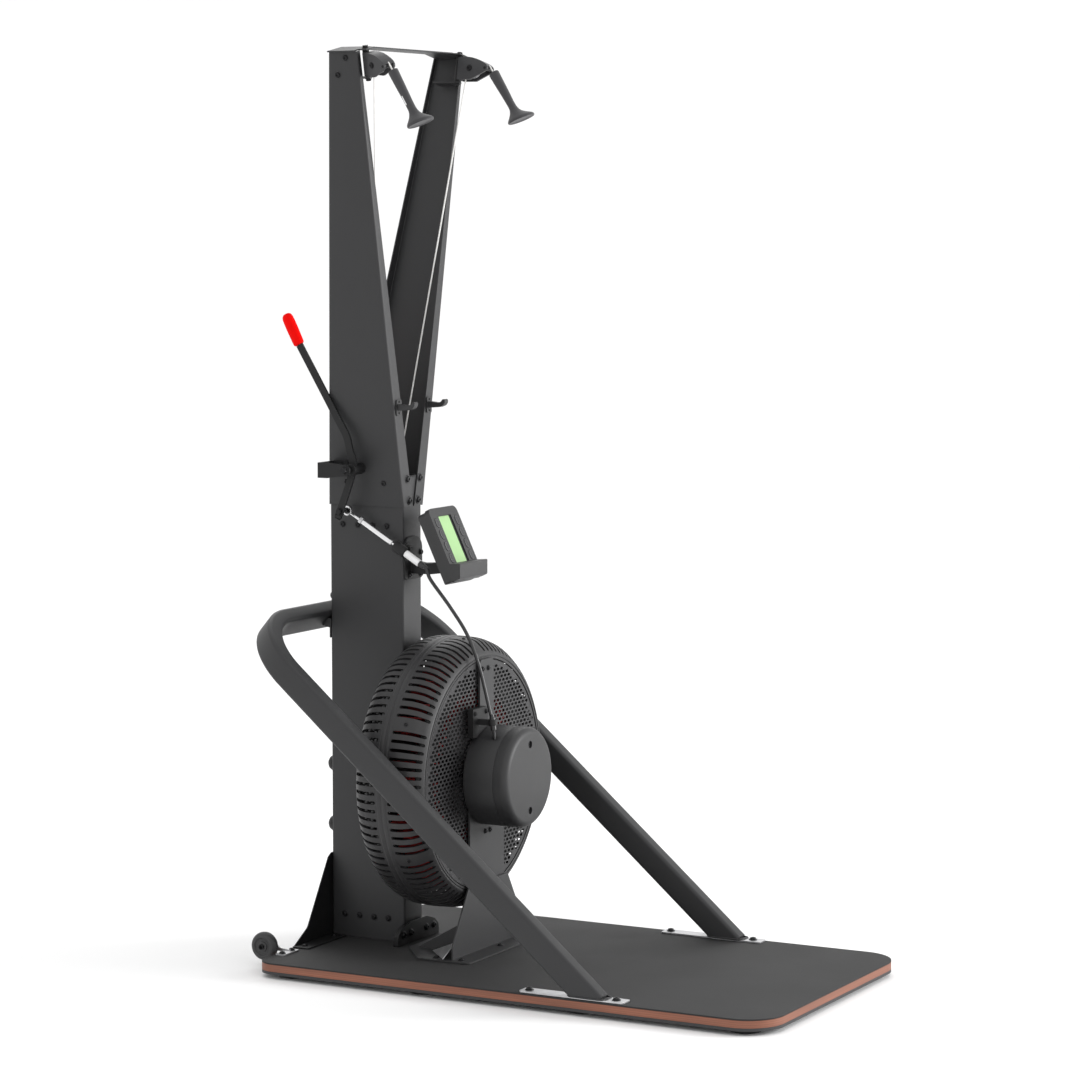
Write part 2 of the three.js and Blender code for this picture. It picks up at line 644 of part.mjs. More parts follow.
// Lathe skins are turned right side out before they are cut.
function loftFix(geometry) {
  const g = geometry.clone();
  g.deleteAttribute('normal');
  g.deleteAttribute('uv');
  const m = mergeVertices(g, 1e-3);
  const p = m.attributes.position;
  const index = Array.from(m.index.array);
  const [a, b, c] = [new THREE.Vector3(), new THREE.Vector3(), new THREE.Vector3()];
  let volume = 0;
  for (let i = 0; i < index.length; i += 3) {
    a.fromBufferAttribute(p, index[i]);
    b.fromBufferAttribute(p, index[i + 1]);
    c.fromBufferAttribute(p, index[i + 2]);
    volume += a.dot(b.clone().cross(c));
  }
  if (volume < 0) {
    for (let i = 0; i < index.length; i += 3) [index[i + 1], index[i + 2]] = [index[i + 2], index[i + 1]];
  }
  m.setIndex(index);
  return toSolid(m);
}

function hub() {
  // Upright plate behind the hub, pedestal below it and strap above it.
  const x0 = FAN_FRONT + 2;
  const x1 = HUB_BACK - GAP;
  const plate = plateYZ([
    [-82, 120], [82, 120], [82, 500], [60, 530], [-60, 530], [-82, 500],
  ], x0, x1);
  add('fan_upright', plate, paint(CHARCOAL, 0.5, 0.3));
  const strap = plateYZ([
    [-33, 531], [33, 531], [33, 700], [26, 708], [-26, 708], [-33, 700],
  ], x0, x1);
  add('fan_strap', strap, paint(CHARCOAL, 0.5, 0.3));

  const base = plateXY([
    [-1049, -89], [-970, -187], [-834, -187], [-834, 187], [-970, 187], [-1049, 89],
  ], PLATFORM_TOP + GAP, PLATFORM_TOP + 4.3);
  const face = plateYZ([
    [-172, PLATFORM_TOP + GAP], [172, PLATFORM_TOP + GAP], [172, 60], [92, 190], [-92, 190], [-172, 60],
  ], HUB_BACK, HUB_BACK + 4);
  const ribs = [-1, 1].map((sign) => plateXZ([
    [HUB_BACK + 2, PLATFORM_TOP + GAP], [HUB_BACK + 2, 112], [-1030, PLATFORM_TOP + 3],
    [-1030, PLATFORM_TOP + GAP],
  ], sign * 84 - 2, sign * 84 + 2));
  const tabs = [-1, 1].map((sign) => plateXZ([
    [HUB_BACK + 2, PLATFORM_TOP + GAP], [HUB_BACK + 2, 66], [HUB_BACK - 34, PLATFORM_TOP + GAP],
  ], sign * 168 - 1.5, sign * 168 + 1.5));
  add('fan_pedestal', join(base, face, ...ribs, ...tabs), paint(CHARCOAL, 0.5, 0.3));

  // Hub drum, open in front, and its rounded cap.
  const profile = [
    [0, HUB_BACK], [HUB_RADIUS, HUB_BACK], [HUB_RADIUS, HUB_SEAM - GAP], [HUB_RADIUS - 4, HUB_SEAM - GAP],
    [HUB_RADIUS - 4, HUB_BACK + 4], [0, HUB_BACK + 4],
  ].map(([rad, x]) => new THREE.Vector2(rad, x));
  const drum = placed(new THREE.LatheGeometry(profile, 36), 0, 0, FAN_Z, 0, 0, -Math.PI / 2);
  const cableHole = strut(CABLE_LOW.clone().addScaledVector(CABLE_END, -40), CABLE_LOW, 5, 12);
  add('hub_housing', cut(loftFix(drum), cableHole), paint(0x29292b, 0.6, 0.1));
  const capProfile = [
    [0, HUB_SEAM], [HUB_RADIUS, HUB_SEAM], [HUB_RADIUS, HUB_FRONT - 14], [HUB_RADIUS - 4, HUB_FRONT - 5],
    [HUB_RADIUS - 13, HUB_FRONT], [0, HUB_FRONT],
  ].map(([rad, x]) => new THREE.Vector2(rad, x));
  const cap = placed(new THREE.LatheGeometry(capProfile, 36), 0, 0, FAN_Z, 0, 0, -Math.PI / 2);
  add('hub_cap', loftFix(cap), paint(0x29292b, 0.6, 0.1));
}

// ---------------------------------------------------------------- brake lever, rod and cable
const ROD_DIR = new THREE.Vector3(193.4, 0, -115.1).normalize();
const ROD_START = new THREE.Vector3(-1224.2, ROD_Y, 1043.8);
function onRod(s) {
  return ROD_START.clone().addScaledVector(ROD_DIR, s);
}

function brake() {
  // Strap bracket: foot on the arm's web, a wall at the back and a cheek that carries the pivot bolt.
  const wallX = -1262;
  const yIn = (z) => -(armOuter(z) + GAP + 0.2);
  const foot = loftSolid([1124, 1160].map((z) => [
    [wallX, yIn(z), z], [-1222, yIn(z), z], [-1222, yIn(z) - 3, z], [wallX, yIn(z) - 3, z],
  ]));
  const wall = box(wallX, wallX + 4, -138, yIn(1160) - 1, 1124, 1160);
  const cheek = plateXZ([
    [wallX, 1124], [wallX + 26, 1124], [-1184, 1131], [-1175, 1137], [-1175, 1150], [-1184, 1156],
    [wallX + 26, 1160], [wallX, 1160],
  ], -138, -134);
  const bolt = rod('y', 6, -146, -134.5, PIVOT_X, PIVOT_Z, 16);
  const pivot = rod('y', 5, -136, -112, PIVOT_X, PIVOT_Z, 16);
  add('lever_bracket', join(foot, wall, cheek, bolt, pivot), paint(BLACK, 0.5, 0.4));

  // Lever: a flat bar bent once, with a hub at the pivot and an eye for the rod.
  const bar = plateXZ(strip([
    [-1332, 1430], [-1225, 1254], [-1206, 1222], [-1197, 1190], [PIVOT_X, PIVOT_Z], [ROD_START.x, ROD_START.z],
    [ROD_START.x - 5, ROD_START.z - 12],
  ], 8.5), LEVER_Y - 3, LEVER_Y + 2.4);
  const hubBoss = rod('y', 13, LEVER_Y - 11, LEVER_Y + 34, PIVOT_X, PIVOT_Z, 20);
  const eyeBolt = rod('y', 4.5, LEVER_Y - 9, ROD_Y + 7, ROD_START.x, ROD_START.z, 12);
  add('brake_lever', join(bar, hubBoss, eyeBolt), paint(BLACK, 0.5, 0.4));
  const gripDir = new THREE.Vector3(-39, 0, 76).normalize();
  const gripStart = new THREE.Vector3(-1332.5, LEVER_Y, 1430).addScaledVector(gripDir, 1);
  const gripSizes = [[0, 11, 8], [4, 13.5, 10.5], [42, 14.5, 12], [66, 14, 11.5], [75, 11.5, 9], [79, 7, 6]];
  const gripRings = gripSizes.map(([s, a, b]) => {
    const c = gripStart.clone().addScaledVector(gripDir, s);
    const side = new THREE.Vector3(gripDir.z, 0, -gripDir.x);
    const pts = [];
    for (let i = 0; i < 16; i += 1) {
      const q = (i / 16) * Math.PI * 2;
      pts.push([c.x + side.x * a * Math.cos(q), c.y + b * Math.sin(q), c.z + side.z * a * Math.cos(q)]);
    }
    return pts;
  });
  add('lever_grip', loftSolid(gripRings), paint(0xe0211c, 0.45, 0));

  // Push rod: eye around the lever's bolt, lock nut, stout barrel and a slim end inside the sleeve.
  const eye = cut(toSolid(rod('y', 11.5, ROD_Y - 4.5, ROD_Y + 4.5, ROD_START.x, ROD_START.z, 16)),
    rod('y', 7.6, ROD_Y - 8, ROD_Y + 8, ROD_START.x, ROD_START.z, 16));
  const neck = strut(onRod(9.5), onRod(62), 4, 10);
  const nut = strut(onRod(40), onRod(48), 8, 6);
  const barrel = strut(onRod(47), onRod(140), 6.5, 12);
  const slim = strut(onRod(139), onRod(190), 3, 10);
  add('brake_rod', join(eye, neck, nut, barrel, slim), paint(0xd6d6d8, 0.25, 0.9));

  // Sleeve in its clamp: a tube the slim rod slides in, held by an arm from the console plate.
  const sleeve = strut(onRod(156), onRod(225), 8.5, 14);
  const sleeveBore = strut(onRod(150), onRod(211), 5.4, 12);
  const clampMid = onRod(174);
  const clampArm = box(COLUMN_FRONT + 4, COLUMN_FRONT + 18, ROD_Y + 7, -42, clampMid.z - 9, clampMid.z + 9);
  const clampFoot = box(COLUMN_FRONT + 4.2, COLUMN_FRONT + 8, -56, -20, clampMid.z - 10, clampMid.z + 10);
  const collar = strut(onRod(158), onRod(190), 12.5, 14);
  const body = join(sleeve, collar, clampArm, clampFoot);
  add('rod_sleeve', cut(body, sleeveBore), paint(BLACK, 0.55, 0.3));

  // Brake cable: a bent conduit from the sleeve to the top of the hub.
  const ferruleTop = CABLE_LOW.clone().addScaledVector(CABLE_END, -62);
  const bends = [[-1001, 892], [-950, 832], [-904, 769], [-872, 695], [-846, 600]].map(([x, z]) => (
    new THREE.Vector3(x, ROD_Y, z)));
  const curve = new THREE.CatmullRomCurve3([
    onRod(225.6), onRod(246), ...bends, ferruleTop.clone().addScaledVector(CABLE_END, 4),
  ]);
  const circle = outline([0, 1, 2, 3, 4, 5, 6, 7].map((i) => (
    [4.2 * Math.cos((i * Math.PI) / 4), 4.2 * Math.sin((i * Math.PI) / 4)])));
  const conduit = new THREE.ExtrudeGeometry(circle, { steps: 20, extrudePath: curve, curveSegments: 4 });
  const ferrule = strut(ferruleTop, CABLE_LOW.clone().addScaledVector(CABLE_END, -32), 7, 12);
  const inner = strut(CABLE_LOW.clone().addScaledVector(CABLE_END, -34), CABLE_LOW, 3.6, 10);
  add('brake_cable', join(loftFix(conduit), ferrule, inner), paint(0x202022, 0.6, 0));

  // Stop block on the strap, with an arm and a ring that hold the cable's ferrule.
  const block = plateYZ([
    [-92, 534], [-73, 534], [-60, 541.5], [-40, 549.5], [-22, 555], [-22, 601], [-92, 601],
  ], HUB_BACK + 0.3, HUB_BACK + 14);
  const mid = ferruleTop.clone().addScaledVector(CABLE_END, 13);
  const ringA = mid.clone().addScaledVector(CABLE_END, -7);
  const ringB = mid.clone().addScaledVector(CABLE_END, 7);
  const hold = box(HUB_BACK + 6, mid.x - 8, ROD_Y - 5, ROD_Y + 6, mid.z - 7, mid.z + 6);
  const stop = cut(join(block, hold, strut(ringA, ringB, 11, 14)),
    strut(ringA.clone().addScaledVector(CABLE_END, -5), ringB.clone().addScaledVector(CABLE_END, 5), 7.5, 12));
  add('cable_stop', stop, paint(BLACK, 0.55, 0.3));
}

// ---------------------------------------------------------------- console
function consoleUnit() {
  const x0 = COLUMN_FRONT + GAP;
  const plate = box(x0, x0 + 3.5, -40, 40, 884, 984);
  const armBox = plateXZ([
    [x0 + 1, 898], [x0 + 1, 928], [-1056, 923], [-1026, 925], [-990.5, 932], [-978.5, 906.5], [-1004, 902],
    [-1034, 898],
  ], -13, 13);
  add('console_bracket', join(plate, armBox), paint(BLACK, 0.5, 0.3));

  // Case in the plane of the face: side outline swept across the width, with a ledge along the bottom.
  const caseOutline = [
    [-1010, 1056], [-1019, 1055], [-1040, 1040], [-964, 879], [-925, 898], [-925, 933], [-951, 931],
  ];
  const bodyCase = toSolid(plateXZ(caseOutline, -65, 65));
  const hollowed = cut(bodyCase, consoleBox(29.4, 22.6, 137.4, 3.2, 0), consoleButtons(0.5));
  add('console_case', hollowed, paint(0x333335, 0.55, 0.1));
  add('console_screen', consoleBox(29, 23, 137, 2.6, -2.8), paint(0x8fbf6a, 0.3, 0));
  let n = 0;
  for (const [c, d] of BUTTONS) {
    n += 1;
    add(`console_button_${n}`, consoleButton(c, d, 0), paint(0x242426, 0.6, 0));
  }
}

const FACE_TOP = new THREE.Vector3(-1010, 0, 1056);
const FACE_DOWN = new THREE.Vector3(59, 0, -125).normalize();
const FACE_OUT = new THREE.Vector3(125, 0, 59).normalize();
// Two rubber key pads on each side of the screen: across, and down the face.
const BUTTONS = [[-47, 51], [-47, 111], [47, 51], [47, 111]];

// Block set into the face: half width, start and end down the face, depth and lift.
function consoleBox(half, d0, d1, depth, lift) {
  const at = (y, d, o) => FACE_TOP.clone().addScaledVector(FACE_DOWN, d).addScaledVector(FACE_OUT, o)
    .add(new THREE.Vector3(0, y, 0)).toArray();
  const lowO = lift === 0 ? -depth : lift;
  const highO = lift === 0 ? 6 : lift + depth;
  return loftSolid([lowO, highO].map((o) => [at(-half, d0, o), at(half, d0, o), at(half, d1, o), at(-half, d1, o)]));
}
function consoleButton(y, d, grow) {
  const at = (o, k) => {
    const pts = [];
    for (let i = 0; i < 16; i += 1) {
      const q = (i / 16) * Math.PI * 2;
      pts.push(FACE_TOP.clone().addScaledVector(FACE_DOWN, d + k * 24 * Math.sin(q)).addScaledVector(FACE_OUT, o)
        .add(new THREE.Vector3(0, y + k * 8 * Math.cos(q), 0)).toArray());
    }
    return pts;
  };
  return loftSolid([at(-2.4 - grow * 2.6, 1 + grow * 0.08), at(grow ? 8 : 1.4, 1 + grow * 0.08)]);
}
function consoleButtons(grow) {
  return BUTTONS.map(([c, d]) => consoleButton(c, d, grow)).reduce((a, b) => a.add(b));
}

// ---------------------------------------------------------------- transport wheels
function wheel(side, sign) {
  const y = sign * WHEEL_Y;
  const tab = box(-1282, -1258, Math.min(sign * 238, sign * 304), Math.max(sign * 238, sign * 304),
    PLATFORM_TOP + GAP, PLATFORM_TOP + 3.6);
  const earY = sign * 258;
  const ear = plateXZ([
    [-1268, PLATFORM_TOP + GAP], [-1268, 33], [-1297, 35], [-1318, 50], [-1332, 50], [-1338, 40], [-1332, 30],
    [-1300, PLATFORM_TOP + GAP],
  ], earY - 2, earY + 2);
  const axle = rod('y', 5, Math.min(earY, sign * 297), Math.max(earY, sign * 297), WHEEL_X, WHEEL_Z, 16);
  add(`wheel_bracket_${side}`, join(tab, ear, axle), paint(0x8c8c8e, 0.4, 0.8));
  const profile = [
    [5.3, -13], [12, -13], [14, -10], [21, -10.5], [27, -12], [31.5, -8], [WHEEL_RADIUS, -3],
    [WHEEL_RADIUS, 3], [31.5, 8], [27, 12], [21, 10.5], [14, 10], [12, 13], [5.3, 13],
  ].map(([r, a]) => new THREE.Vector2(r, a));
  profile.push(profile[0].clone());
  const g = placed(new THREE.LatheGeometry(profile, 24), WHEEL_X, y, WHEEL_Z);
  add(`transport_wheel_${side}`, loftFix(g), paint(BLACK, 0.7, 0));
}

// ---------------------------------------------------------------- assembly
platform();
column();
arm('arm_near', -1);
arm('arm_far', 1);
topPlate();
shelf('shelf_near', -1);
shelf('shelf_far', 1);
pulleyHead('near', -1, SWING_NEAR);
pulleyHead('far', 1, SWING_FAR);
driveCord('near', -1, 16);
driveCord('far', 1, 0);
hook('hook_near', -1);
hook('hook_far', 1);
brace();
fan();
hub();
brake();
consoleUnit();
wheel('near', -1);
wheel('far', 1);

export default group;
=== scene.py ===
# Standing cord-pull fan trainer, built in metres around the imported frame.
# Lengths below are millimetres: x from the platform's front edge (negative backwards), y across
# with the brake lever on the negative side, and z from the platform's underside.
import math

import bmesh
import bpy
from mathutils import Matrix, Vector


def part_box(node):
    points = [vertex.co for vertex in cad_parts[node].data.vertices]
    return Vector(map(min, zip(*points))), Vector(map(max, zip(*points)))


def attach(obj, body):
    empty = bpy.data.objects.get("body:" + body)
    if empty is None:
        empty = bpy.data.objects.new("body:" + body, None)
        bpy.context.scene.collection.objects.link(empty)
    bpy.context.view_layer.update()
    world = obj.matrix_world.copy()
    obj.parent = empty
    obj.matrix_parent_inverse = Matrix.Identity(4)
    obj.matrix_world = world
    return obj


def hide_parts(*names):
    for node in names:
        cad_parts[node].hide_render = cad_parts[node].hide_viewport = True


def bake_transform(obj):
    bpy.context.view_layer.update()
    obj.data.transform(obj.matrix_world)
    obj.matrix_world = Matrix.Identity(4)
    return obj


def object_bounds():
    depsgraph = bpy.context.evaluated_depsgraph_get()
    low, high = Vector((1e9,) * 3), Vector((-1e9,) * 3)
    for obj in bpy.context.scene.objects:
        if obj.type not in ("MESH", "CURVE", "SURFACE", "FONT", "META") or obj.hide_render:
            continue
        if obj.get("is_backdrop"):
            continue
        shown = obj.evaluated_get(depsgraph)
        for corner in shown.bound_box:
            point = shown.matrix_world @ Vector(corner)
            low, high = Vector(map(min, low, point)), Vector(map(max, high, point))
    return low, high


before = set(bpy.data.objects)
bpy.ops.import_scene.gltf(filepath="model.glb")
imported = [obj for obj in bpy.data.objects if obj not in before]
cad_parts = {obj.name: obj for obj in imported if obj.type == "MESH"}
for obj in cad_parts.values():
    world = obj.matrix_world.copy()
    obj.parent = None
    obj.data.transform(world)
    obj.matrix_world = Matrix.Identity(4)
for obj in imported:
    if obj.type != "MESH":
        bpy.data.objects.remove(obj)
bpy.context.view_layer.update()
FRONT_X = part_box("platform_top")[1].x
UNDERSIDE_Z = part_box("platform_bottom")[0].z
TAU = 2 * math.pi
PLY_PITCH = 0.0046  # metres
SIDES = (("near", -1), ("far", 1))


def P(x, y, z):
    return Vector((x / 1000 + FRONT_X, y / 1000, z / 1000 + UNDERSIDE_Z))


# ------------------------------------------------------------ materials
def shade(rgb, k):
    return tuple(min(1.0, max(0.0, c * k)) for c in rgb) + (1.0,)


def shader_node(tree, kind, links=(), **values):
    """A shader node: links maps its inputs to sockets, and values sets its other inputs."""
    n = tree.nodes.new("ShaderNode" + kind)
    for key, socket in dict(links).items():
        tree.links.new(socket, n.inputs[key])
    for key, value in values.items():
        n.inputs[key.replace("_", " ")].default_value = value
    return n


OWN_SLOT = {}  # Blender may number a material whose name the frame already has


def surface(name, rgb, rough, vary=0.1, patch=14, grain=1400, bump=0.2, depth=0.0002, metallic=0.0,
            coat=0.0, rough_vary=0.08, stretch=(1, 1, 1), specular=0.5, sheen=0.0):
    """Solid material whose colour drifts in soft patches and whose skin has a fine grain."""
    m = bpy.data.materials.new(name)
    OWN_SLOT[m.name] = name
    m.use_nodes = True
    t = m.node_tree
    b = t.nodes["Principled BSDF"]
    b.inputs["Metallic"].default_value = metallic
    b.inputs["Coat Weight"].default_value = coat
    b.inputs["Coat Roughness"].default_value = 0.15
    b.inputs["Specular IOR Level"].default_value = specular
    b.inputs["Sheen Weight"].default_value = sheen
    place = shader_node(t, "Mapping", {"Vector": shader_node(t, "TexCoord").outputs["Object"]}, Scale=stretch)
    soft = shader_node(t, "TexNoise", {"Vector": place.outputs["Vector"]}, Scale=patch, Detail=5)
    ramp = shader_node(t, "ValToRGB", {"Fac": soft.outputs["Fac"]})
    low, high = ramp.color_ramp.elements
    low.position, high.position = 0.3, 0.7
    low.color, high.color = shade(rgb, 1 - vary), shade(rgb, 1 + vary)
    t.links.new(ramp.outputs["Color"], b.inputs["Base Color"])
    fine = shader_node(t, "TexNoise", {"Vector": place.outputs["Vector"]}, Scale=grain, Detail=3)
    span = shader_node(t, "MapRange", {"Value": soft.outputs["Fac"]}, To_Min=max(0.02, rough - rough_vary),
                To_Max=min(1.0, rough + rough_vary))
    t.links.new(span.outputs["Result"], b.inputs["Roughness"])
    skin = shader_node(t, "Bump", {"Height": fine.outputs["Fac"]}, Strength=bump, Distance=depth)
    t.links.new(skin.outputs["Normal"], b.inputs["Normal"])
    return m


def wood_edge():
    """Edge of a laminated board: thin plies in warm browns with long streaks."""
    m = surface("wood_edge", (0.25, 0.092, 0.052), 0.55, vary=0.2, patch=9, grain=260, bump=0.3,
                stretch=(0.5, 0.5, 9))
    t = m.node_tree
    b = t.nodes["Principled BSDF"]
    ramp = next(n for n in t.nodes if n.type == "VALTORGB")
    co = next(n for n in t.nodes if n.type == "TEX_COORD")
    axes = shader_node(t, "SeparateXYZ", {"Vector": co.outputs["Object"]})
    ply = shader_node(t, "Math", {0: axes.outputs["Z"]})
    ply.operation = "MULTIPLY"
    ply.inputs[1].default_value = TAU / PLY_PITCH
    wave = shader_node(t, "Math", {0: ply.outputs[0]})
    wave.operation = "SINE"
    span = shader_node(t, "MapRange", {"Value": wave.outputs[0]}, From_Min=-1, To_Min=0.0, To_Max=0.5)
    mix = shader_node(t, "MixRGB", {"Fac": span.outputs["Result"], "Color1": ramp.outputs["Color"]},
               Color2=(0.16, 0.058, 0.034, 1))
    t.links.new(mix.outputs["Color"], b.inputs["Base Color"])
    return m


COAT = surface("charcoal_coat", (0.025, 0.025, 0.0262), 0.5, vary=0.06, patch=6, grain=1600, bump=0.25,
               metallic=0.15)
COAT_DARK = surface("black_coat", (0.011, 0.011, 0.0115), 0.5, vary=0.1, patch=12, grain=1500, bump=0.2,
                    specular=0.3)
BOLT = surface("black_fastener", (0.014, 0.014, 0.015), 0.36, vary=0.2, patch=120, grain=2200, bump=0.15,
               metallic=0.6)
DECK = surface("deck_skin", (0.015, 0.0147, 0.015), 0.75, vary=0.05, patch=5, grain=650, bump=0.5,
               depth=0.0004)
DECK_LOW = surface("deck_base", (0.03, 0.03, 0.032), 0.6, vary=0.1, patch=10, grain=900)
WOOD = wood_edge()
FOOT = surface("foot_rubber", (0.012, 0.012, 0.012), 0.75, vary=0.15, patch=40, grain=900, bump=0.3)
GUARD = surface("guard_plastic", (0.018, 0.0176, 0.0186), 0.5, vary=0.05, patch=8, grain=1300, bump=0.25)
GRILLE = surface("grille_sheet", (0.022, 0.0215, 0.023), 0.45, vary=0.05, patch=8, grain=1500, bump=0.2,
                 metallic=0.2)
ROTOR = surface("rotor_red", (0.30, 0.012, 0.012), 0.42, vary=0.15, patch=20, grain=900, bump=0.15)
HUB = surface("hub_plastic", (0.019, 0.019, 0.02), 0.5, vary=0.05, patch=9, grain=1300, bump=0.25)
HEAD = surface("head_plastic", (0.03, 0.03, 0.032), 0.46, vary=0.07, patch=25, grain=1500, bump=0.3)
RUBBER = surface("grip_rubber", (0.035, 0.034, 0.037), 0.68, vary=0.07, patch=30, grain=1500, bump=0.45,
                 sheen=0.1)
HOOKS = surface("hook_rubber", (0.02, 0.02, 0.021), 0.55, vary=0.12, patch=60, grain=1500)
STEEL = surface("machined_steel", (0.42, 0.42, 0.43), 0.3, vary=0.08, patch=90, grain=1500, bump=0.15,
                metallic=1.0)
ZINC = surface("zinc_plate", (0.55, 0.55, 0.56), 0.34, vary=0.1, patch=45, grain=1200, bump=0.15,
               metallic=0.9)
CHROME = surface("rod_steel", (0.78, 0.78, 0.79), 0.2, vary=0.04, patch=80, grain=1800, bump=0.05,
                 metallic=1.0, rough_vary=0.04)
WHITE = surface("white_sleeve", (0.82, 0.82, 0.82), 0.4, vary=0.03, patch=60, grain=1500, bump=0.1)
CORD = surface("cord_white", (0.78, 0.77, 0.75), 0.75, vary=0.08, patch=60, grain=700, bump=0.6, depth=0.0004)
CABLE = surface("cable_jacket", (0.012, 0.012, 0.013), 0.34, vary=0.1, patch=60, grain=1200, bump=0.15,
                coat=0.15)
RED = surface("red_grip", (0.80, 0.002, 0.001), 0.5, vary=0.08, patch=40, grain=900, bump=0.12, specular=0.06)
CASE = surface("console_plastic", (0.022, 0.022, 0.023), 0.5, vary=0.05, patch=20, grain=1500, bump=0.35)
BEZEL = surface("bezel_black", (0.012, 0.012, 0.013), 0.3, vary=0.1, patch=60, grain=1500, bump=0.05)
SCREEN = surface("screen_green", (0.31, 0.52, 0.22), 0.3, vary=0.05, patch=30, grain=1800, bump=0.02,
                 coat=0.4)
BUTTON = surface("button_rubber", (0.03, 0.03, 0.032), 0.55, vary=0.1, patch=90, grain=1600, bump=0.3)
MARK = surface("button_ring", (0.085, 0.083, 0.087), 0.5, vary=0.05, patch=90, grain=1600, bump=0.1)
WHEEL = surface("wheel_rubber", (0.034, 0.034, 0.035), 0.6, vary=0.12, patch=60, grain=1300, bump=0.35)
PLAIN = (BOLT, WHITE, BEZEL, MARK)  # materials with no slot


# ------------------------------------------------------------ mesh building
def XZ(a, b, c):
    return P(a, c, b)


def YZ(a, b, c):
    return P(c, a, b)


def XY(a, b, c):
    return P(a, b, c)


def arc_corner(prev, here, after, r, n):
    """Points that round one corner of a flat outline."""
    here, u, v = Vector(here), Vector(prev) - Vector(here), Vector(after) - Vector(here)
    lu, lv = u.length, v.length
    u, v = u.normalized(), v.normalized()
    angle = u.angle(v)
    if r <= 0 or angle > math.radians(176):
        return [tuple(here)]
    cutback = min(r / math.tan(angle / 2), 0.48 * lu, 0.48 * lv)
    radius = cutback * math.tan(angle / 2)
    centre = here + (u + v).normalized() * (radius / math.sin(angle / 2))
    a, b = here + u * cutback - centre, here + v * cutback - centre
    turn = a.angle_signed(b)
    out = []
    for i in range(n + 1):
        q = -turn * i / n
        c, s = math.cos(q), math.sin(q)
        out.append((centre.x + a.x * c - a.y * s, centre.y + a.x * s + a.y * c))
    return out


def rounded(points, radius, n=5):
    """A flat outline with its corners rounded: one radius for all, or one for each corner."""
    k = len(points)
    radii = radius if isinstance(radius, (list, tuple)) else [radius] * k
    out = []
    for i in range(k):
        out += arc_corner(points[i - 1], points[i], points[(i + 1) % k], radii[i], n)
    return out


def mirrored(half):
    """A half profile of (radius, height), followed by its mirror image across height zero."""
    return half + [(r, -h) for r, h in reversed(half) if h]


def symmetric(half, radii, n):
    """A rounded outline from the points, and their radii, on the positive side of its axis."""
    return rounded(half + [(-a, b) for a, b in reversed(half)], radii + radii[::-1], n)


def pin(r, lo, hi, chamfer=0.0):
    """Lathe profile of a plain round bar."""
    ends = [(r - chamfer, lo), (r, lo + chamfer), (r, hi - chamfer), (r - chamfer, hi)]
    return [(0, lo)] + (ends if chamfer else [(r, lo), (r, hi)]) + [(0, hi)]


def rect(a0, a1, b0, b1):
    return [(a0, b0), (a1, b0), (a1, b1), (a0, b1)]


def turns(n, shift=0.0):
    """Cosine and sine at n even steps round a circle, moved on by a part of a step."""
    return [(math.cos(TAU * (i + shift) / n), math.sin(TAU * (i + shift) / n)) for i in range(n)]


def spline(points, per=8, closed=False):
    """Smooth curve through points of any dimension."""
    pts = [Vector(p) for p in points]
    n = len(pts)
    out = []
    for i in range(n if closed else n - 1):
        if closed:
            a, b, c, d = pts[i - 1], pts[i], pts[(i + 1) % n], pts[(i + 2) % n]
        else:
            a, b, c, d = pts[max(i - 1, 0)], pts[i], pts[i + 1], pts[min(i + 2, n - 1)]
        for j in range(per):
            t = j / per
            out.append(0.5 * (2 * b + (c - a) * t + (2 * a - 5 * b + 4 * c - d) * t * t
                              + (3 * b - a - 3 * c + d) * t ** 3))
    if not closed:
        out.append(pts[-1])
    return out


